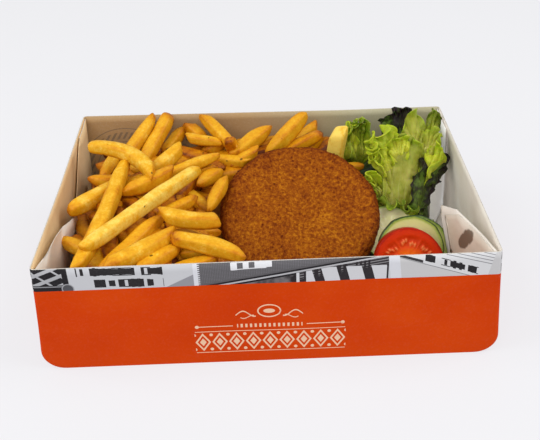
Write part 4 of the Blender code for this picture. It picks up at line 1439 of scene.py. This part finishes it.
# %% Where the leaves stand
LEAVES = (
    ("body", (86, 16, 32), (78, 42, 60), (94, 50, 67), (107, 43, 60), 10, 6, 2.4, 5, "heart"),
    ("cluster", (86, 33, 38), (69, 38, 66), (77, 46, 76), (89, 54, 71), 6, 3, 3.4, 8, "frill"),
    ("lobe", (99, 43, 42), (93, 57, 70), (102, 63, 80), (110, 60, 70), 6, 3, 1.8, 4, "bright"),
    ("star", (103, 28, 40), (110, 44, 66), (119, 38, 62), (112, 29, 53), 4, 2, 2.6, 5, "frill"),
    ("pale_right", (104, 40, 50), (110, 54, 68), (118, 52, 69), (118, 44, 61), 4, 2, 2.2, 5, "bright"),
    ("frill_middle", (89, 36, 56), (79, 40, 64), (88, 45, 70), (98, 46, 66), 5, 2, 3.0, 7, "frill"),
    ("frill_left", (83, 31, 44), (70, 31, 60), (71, 35, 67), (79, 40, 67), 4, 2, 3.0, 7, "frill"),
    ("curls", (84, 24, 36), (70, 24, 56), (67, 22, 53), (71, 18, 45), 4, 2, 2.2, 5, "frill"),
    ("curl_low", (83, 19, 34), (72, 21, 50), (69, 16, 46), (74, 13, 41), 4, 1, 2.0, 5, "bright"),
    ("dark_top", (92, 62, 36), (80, 71, 68), (91, 76, 75), (102, 76, 75), 6, 2, 1.8, 4, "dark"),
    ("olive_top", (111, 57, 34), (112, 70, 69), (119, 75, 75), (124, 69, 65), 5, 2, 1.6, 4, "olive"),
    ("dark_right", (95, 9, 22), (94, 20, 48), (107, 38, 58), (122, 45, 54), 5, 4, 2.0, 5, "dark"),
    ("dark_side", (97, 8, 20), (121, 45, 52), (117, 32, 44), (103, 13, 32), 4, 2, 1.8, 5, "dark"),
    ("low", (90, 15, 22), (74, 13, 41), (85, 10, 41), (98, 6, 38), 7, 1, 2.0, 9, "moss"),
    ("far_left", (67, 60, 38), (56, 57, 56), (61, 64, 71), (73, 65, 72), 6, 2, 3.2, 8, "moss"),
    ("under_slices", (90, 26, 14), (66, -44, 12), (86, -66, 15), (112, -48, 13), 8, 3, 2.0, 7, "moss"),
    ("under_right", (100, 24, 12), (92, -50, 9), (116, -30, 14), (121, 20, 16), 6, 2, 2.0, 6, "bright"),
    ("small", (60, 62, 36), (56, 61, 60), (59, 65, 70), (66, 64, 68), 4, 1, 2.4, 7, "frill"),
)

print(len(LEAVES), "leaves")

# %% [markdown]
# ### One ruffled leaf
# A frilly leaf has more length at its margin than in its middle, so the margin has to fold back
# and forth while the middle stays smooth. Waves over the whole leaf would look like crimped paper.
# Here the waves grow only over the last nine millimetres, and they push points out of the sheet
# and also sideways, which curls them over. Slow noise crumples the rest.

# %% One ruffled leaf
FRILL_DEPTH = 9  # millimetres from the margin that take part in the frill


def leaf_points(base, left, top, right, root, bulge, ruffle, waves, seed):
    """A fan of rays from the base to the margin: smooth inside, frilled at the margin.

    Returns the points and faces, and for each point its share (-1 at the left edge, 1 at the
    right) and its reach (0 at the base, 1 at the margin).
    """
    rows, columns = 74, 92
    draw = random.Random(seed)
    base, left, top, right = (Vector(p) for p in (base, left, top, right))
    control = 2 * top - (left + right) / 2
    across = (right - left).normalized()
    front = across.cross(top - base).normalized()
    phase = [draw.uniform(0, 2 * math.pi) for _ in range(5)]
    points, shares, reaches = [], [], []
    for row in range(rows + 1):
        t = row / rows
        half_width = (root * (1 - t) + (right - left).length / 2 * t)
        for column in range(columns + 1):
            share = 2 * column / columns - 1
            u = (share + 1) / 2
            end = left * (1 - u) ** 2 + control * 2 * u * (1 - u) + right * u * u
            start = base + across * share * root
            ray = end - start
            outward = ray.normalized()
            bare = start + ray * t
            inside = min((1 - t) * ray.length, (1 - abs(share)) * half_width + 6 * max(0.3 - t, 0))
            margin = max(1 - inside / FRILL_DEPTH, 0) ** 1.6
            wander = noise.noise(bare / 16 + Vector((seed, 0, 0)))
            angle = math.atan2(t + 0.05, share)
            turn = waves * (angle + 0.5 * wander)
            wave = 2.7 * turn + phase[0]
            fine_wave = 5.3 * turn + phase[1] + 4 * wander
            lift = ruffle * (1.3 * math.sin(wave) * margin + 0.45 * math.sin(fine_wave) * margin ** 2)
            lift += 2.4 * math.sin(3.4 * share + 4 * wander + phase[2]) * t * (1 - t * 0.3)
            lift += 1.6 * noise.noise(bare / 8 + Vector((0, seed, 0))) * min(3 * t, 1)
            lift += (0.35 + 0.5 * ruffle * margin) * noise.noise(bare / 3 + Vector((0, seed, 0)))
            lift += ruffle * 1.0 * margin ** 2 * (0.3 + math.sin(1.3 * turn + phase[3]))
            lift += bulge * math.sin(math.pi * t) * (1 - 0.5 * share * share)
            sway = ruffle * (0.8 * math.cos(wave) * margin + 0.35 * math.cos(fine_wave) * margin ** 2)
            along_margin = across * math.sin(angle) - outward * math.cos(angle)
            ragged = noise.noise(bare / 2.6 + Vector((0, 0, seed)))
            stretch = ruffle * margin ** 2 * (0.5 * math.sin(1.9 * turn + phase[4]) + 0.6 * ragged)
            points.append((bare + front * lift + along_margin * sway + outward * stretch) * MM)
            shares.append(share)
            reaches.append(t)
    faces = []
    width = columns + 1
    for row in range(rows):
        for column in range(columns):
            i = row * width + column
            faces.append((i, i + 1, i + width + 1, i + width))
    return points, faces, shares, reaches


def kept_in(point):
    """The point, moved in where it would pass through a wall of the tray."""
    if point.z < HEIGHT + 2 * MM:
        limit = half_length(min(max(point.z, 0), HEIGHT)) - 2 * MM
        point.x = min(point.x, limit)
        point.y = min(point.y, DEPTH_HALF - 2 * MM)
    return point


print("the frill takes the last", FRILL_DEPTH, "mm of a leaf")

# %% [markdown]
# ### Greens of the leaves
# One recipe makes all the leaf finishes from five paints: ribs, pale flesh, green, dark green and
# margin. The level on the ramp rises towards the margin and is broken up by patches. Leaves are
# thin, and light goes through them, so much of it is scattered under the surface.

# %% Greens of the leaves
def leaf_green(name, rib, pale, green, dark, margin, spotted=0.75):
    """A leaf's finish from its five colours, from the ribs out to the margin."""
    finish = Finish(name, Subsurface_Weight=0.45, Subsurface_Radius=(0.6, 1.0, 0.2),
                    Subsurface_Scale=3 * MM, Specular_IOR_Level=0.25)
    share, reach = finish.stored("share"), finish.stored("reach")
    patch = finish.cloud(95, 4, 0.62)
    fine = finish.cloud(560, 3, 0.6)
    ribs = abs((share * 2.5 + (patch - 0.5) * 0.9).wrapped(1.0))
    rib_mask = ((0.10 - ribs) * 9).clamped() * (0.95 - reach).clamped()
    branches = abs((reach * 7 + abs(share.wrapped(0.4)) * 9 + (patch - 0.5) * 2).wrapped(1.0))
    vein = ((0.10 - branches) * 7).clamped()
    edge = either(reach, abs(share) * 0.9)
    level = edge ** 3 * 0.55 + (patch - 0.5) * spotted * 1.5 + (fine - 0.5) * 0.25 + 0.22
    stops = ((0.06, paint(pale)), (0.40, paint(green)), (0.72, paint(dark)), (0.98, paint(margin)))
    colour = finish.ramp(level, *stops)
    colour = finish.mix(0.22 * vein, colour, paint(pale))
    colour = finish.mix(0.45 * rib_mask, colour, paint(rib))
    finish.out(Base_Color=colour, Roughness=0.42 + 0.2 * fine)
    finish.bump(rib_mask * 0.4 + vein * 0.4 + 0.7 * patch + 0.25 * fine, 0.8 * MM, 0.7)
    return finish.material


leaf_tones = {
    "heart": leaf_green("heart leaf", "B8B574", "A9A64A", "92942E", "828C22", "A2B02C", 1.0),
    "bright": leaf_green("bright leaf", "C4C380", "BBBB58", "A3A436", "8F9A26", "A8B62E", 1.0),
    "frill": leaf_green("frilly leaf", "D2D478", "CBD04E", "B6BE2A", "9CAC1A", "C4CE3C"),
    "dark": leaf_green("dark leaf", "7E8A3C", "5E7424", "2C300E", "1E0E14", "16080E", 1.9),
    "moss": leaf_green("mossy leaf", "B4BA50", "AAB234", "86921C", "5E7014", "9CAA26", 1.2),
    "olive": leaf_green("olive leaf", "B6B65A", "A4AC34", "8E9620", "5E6414", "40280E", 1.0),
}
print("leaf tones:", ", ".join(leaf_tones))

# %% [markdown]
# ### Build the leaves
# A leaf's seed is made from its name, so a leaf keeps its folds when others are added or moved.
# Points that would pass through a wall of the tray are moved back inside it, as the board would
# hold a real leaf. Solidify makes the sheet half a millimetre thick.

# %% Build the leaves
LEAF_THICK = 0.5 * MM


def build_leaf(name, base, left, top, right, root, bulge, ruffle, waves, tone):
    """One row of the list of leaves as a piece."""
    seed = sum(map(ord, name))
    points, faces, share, reach = leaf_points(base, left, top, right, root, bulge, ruffle, waves, seed)
    points = [kept_in(p) for p in points]
    numbers = {"share": share, "reach": reach}
    piece = make_piece(f"leaf_{name}", points, faces, [leaf_tones[tone]], numbers, ("lettuce",))
    sheet = piece.modifiers.new("leaf thickness", "SOLIDIFY")
    sheet.thickness = LEAF_THICK
    sheet.offset = 0
    return piece


for values in LEAVES:
    build_leaf(*values)
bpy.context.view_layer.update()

# %% [markdown]
# ### The low leaves under the bunch
# Under the bunch the leaves are pressed together and lie in shade. Three low mounds, made by the same
# function as those of the chips and painted the dark green of leaves in shadow, stand for them and
# keep light from coming through between the leaves in front.

# %% The low leaves under the bunch
def shaded_leaf():
    finish = Finish("leaf in shadow", Roughness=0.5)
    blotch = finish.cloud(110, 4, 0.6)
    green = finish.ramp(blotch, (0.3, paint("1C2408")), (0.6, paint("3E5212")), (0.8, paint("6A7F24")))
    finish.out(Base_Color=green)
    finish.bump(blotch, 2 * MM)
    return finish.material


core_green = shaded_leaf()
mound("lettuce_core_front", (68, -56), (106, 38), 13, 4, core_green, ("lettuce",))
mound("lettuce_core_back", (67.2, 20), (115, 82), 34, 4, core_green, ("lettuce",))
mound("lettuce_core_left", (41, 57), (100, 80), 38, 3, core_green, ("lettuce",))

# %% [markdown]
# ## The floor
# The tray stands on a pale, seamless floor. A floor lit by the lamps alone would be darker on one
# side than on the other, so most of its brightness is its own even glow, and the lamps add only
# what it takes for the tray to cast a faint shadow.

# %% Floor
FLOOR_SIZE = 60
FLOOR_DROP = 0.2 * MM
FLOOR_GLOW = 0.79

bpy.ops.mesh.primitive_plane_add(size=FLOOR_SIZE, location=(0, 0, -FLOOR_DROP))
floor = bpy.context.active_object
floor.name = "floor"
backing = Finish("pale floor", Roughness=0.9, Specular_IOR_Level=0.1, Emission_Strength=FLOOR_GLOW)
pale_stops = ((0.3, (0.150, 0.150, 0.154)), (0.7, (0.155, 0.155, 0.159)))
backing.out(Base_Color=backing.ramp(backing.cloud(3), *pale_stops))
backing.out(Emission_Color=paint("F1F1F4"))
floor.data.materials.append(backing.material)
print("floor", round(floor.dimensions.x), "m wide")

# %% [markdown]
# ### Lights
# Three large round lamps stand to the left, to the right and in front, and a white sky fills the
# shade. Such light leaves no hard shadow in the folds of the food. The two side lamps also reach
# down the inner walls of the tray, which one lamp alone would leave dark.

# %% Lights
# each lamp: name, place, what it points at, width, all in metres, and its power in watts
LAMPS = (
    ("left light", (-0.85, -0.15, 1.05), (0, 0, 0), 0.9, 8.0),
    ("right light", (0.85, -0.15, 1.05), (0, 0, 0), 0.9, 8.5),
    ("front light", (-0.25, -1.05, 0.85), (0, 0, 0.02), 1.1, 6.2),
)
SKY = 0.50


def soft_light(name, place, target, size, power):
    data = bpy.data.lights.new(name, "AREA")
    data.shape = "DISK"
    data.size = size
    data.energy = power
    lamp = bpy.data.objects.new(name, data)
    lamp.location = place
    lamp.rotation_euler = (Vector(target) - Vector(place)).to_track_quat("-Z", "Y").to_euler()
    bpy.context.scene.collection.objects.link(lamp)
    return lamp


for lamp in LAMPS:
    soft_light(*lamp)
world = bpy.data.worlds.new("studio")
world.use_nodes = True
world.node_tree.nodes["Background"].inputs["Color"].default_value = (1, 1, 1, 1)
world.node_tree.nodes["Background"].inputs["Strength"].default_value = SKY
bpy.context.scene.world = world
bpy.context.scene.view_settings.view_transform = "Standard"
print(len(LAMPS), "lamps, sky", SKY)

# %% [markdown]
# ### Camera
# The camera stands where the picture was taken from: straight in front, about 34 degrees above the
# table and 0.6 m away, with the slight roll of a hand-held shot. Its axes are worked out from the
# elevation and the roll, because three numbers with a meaning are easier to correct than a matrix.

# %% Camera
CAMERA_TARGET = Vector((2.9, 57.4, 0)) * MM
CAMERA_DISTANCE = 590.8 * MM
CAMERA_ELEVATION = math.radians(33.584)
CAMERA_ROLL = math.radians(-2.236)
CAMERA_LENS = 54.67

back = Vector((0, -math.cos(CAMERA_ELEVATION), math.sin(CAMERA_ELEVATION)))
right = Vector((1, 0, 0))
up = back.cross(right)
rolled_right = right * math.cos(CAMERA_ROLL) + up * math.sin(CAMERA_ROLL)
rolled_up = up * math.cos(CAMERA_ROLL) - right * math.sin(CAMERA_ROLL)
camera = bpy.data.objects.new("camera", bpy.data.cameras.new("camera"))
camera.matrix_world = Matrix((
    (rolled_right.x, rolled_up.x, back.x, 0),
    (rolled_right.y, rolled_up.y, back.y, 0),
    (rolled_right.z, rolled_up.z, back.z, 0),
    (0, 0, 0, 1),
))
camera.location = CAMERA_TARGET + back * CAMERA_DISTANCE
camera.data.sensor_width = 36
camera.data.lens = CAMERA_LENS
camera.data.clip_start = 0.01
bpy.context.scene.collection.objects.link(camera)
bpy.context.scene.camera = camera
print("camera", round(camera.location.z, 3), "m above the table")
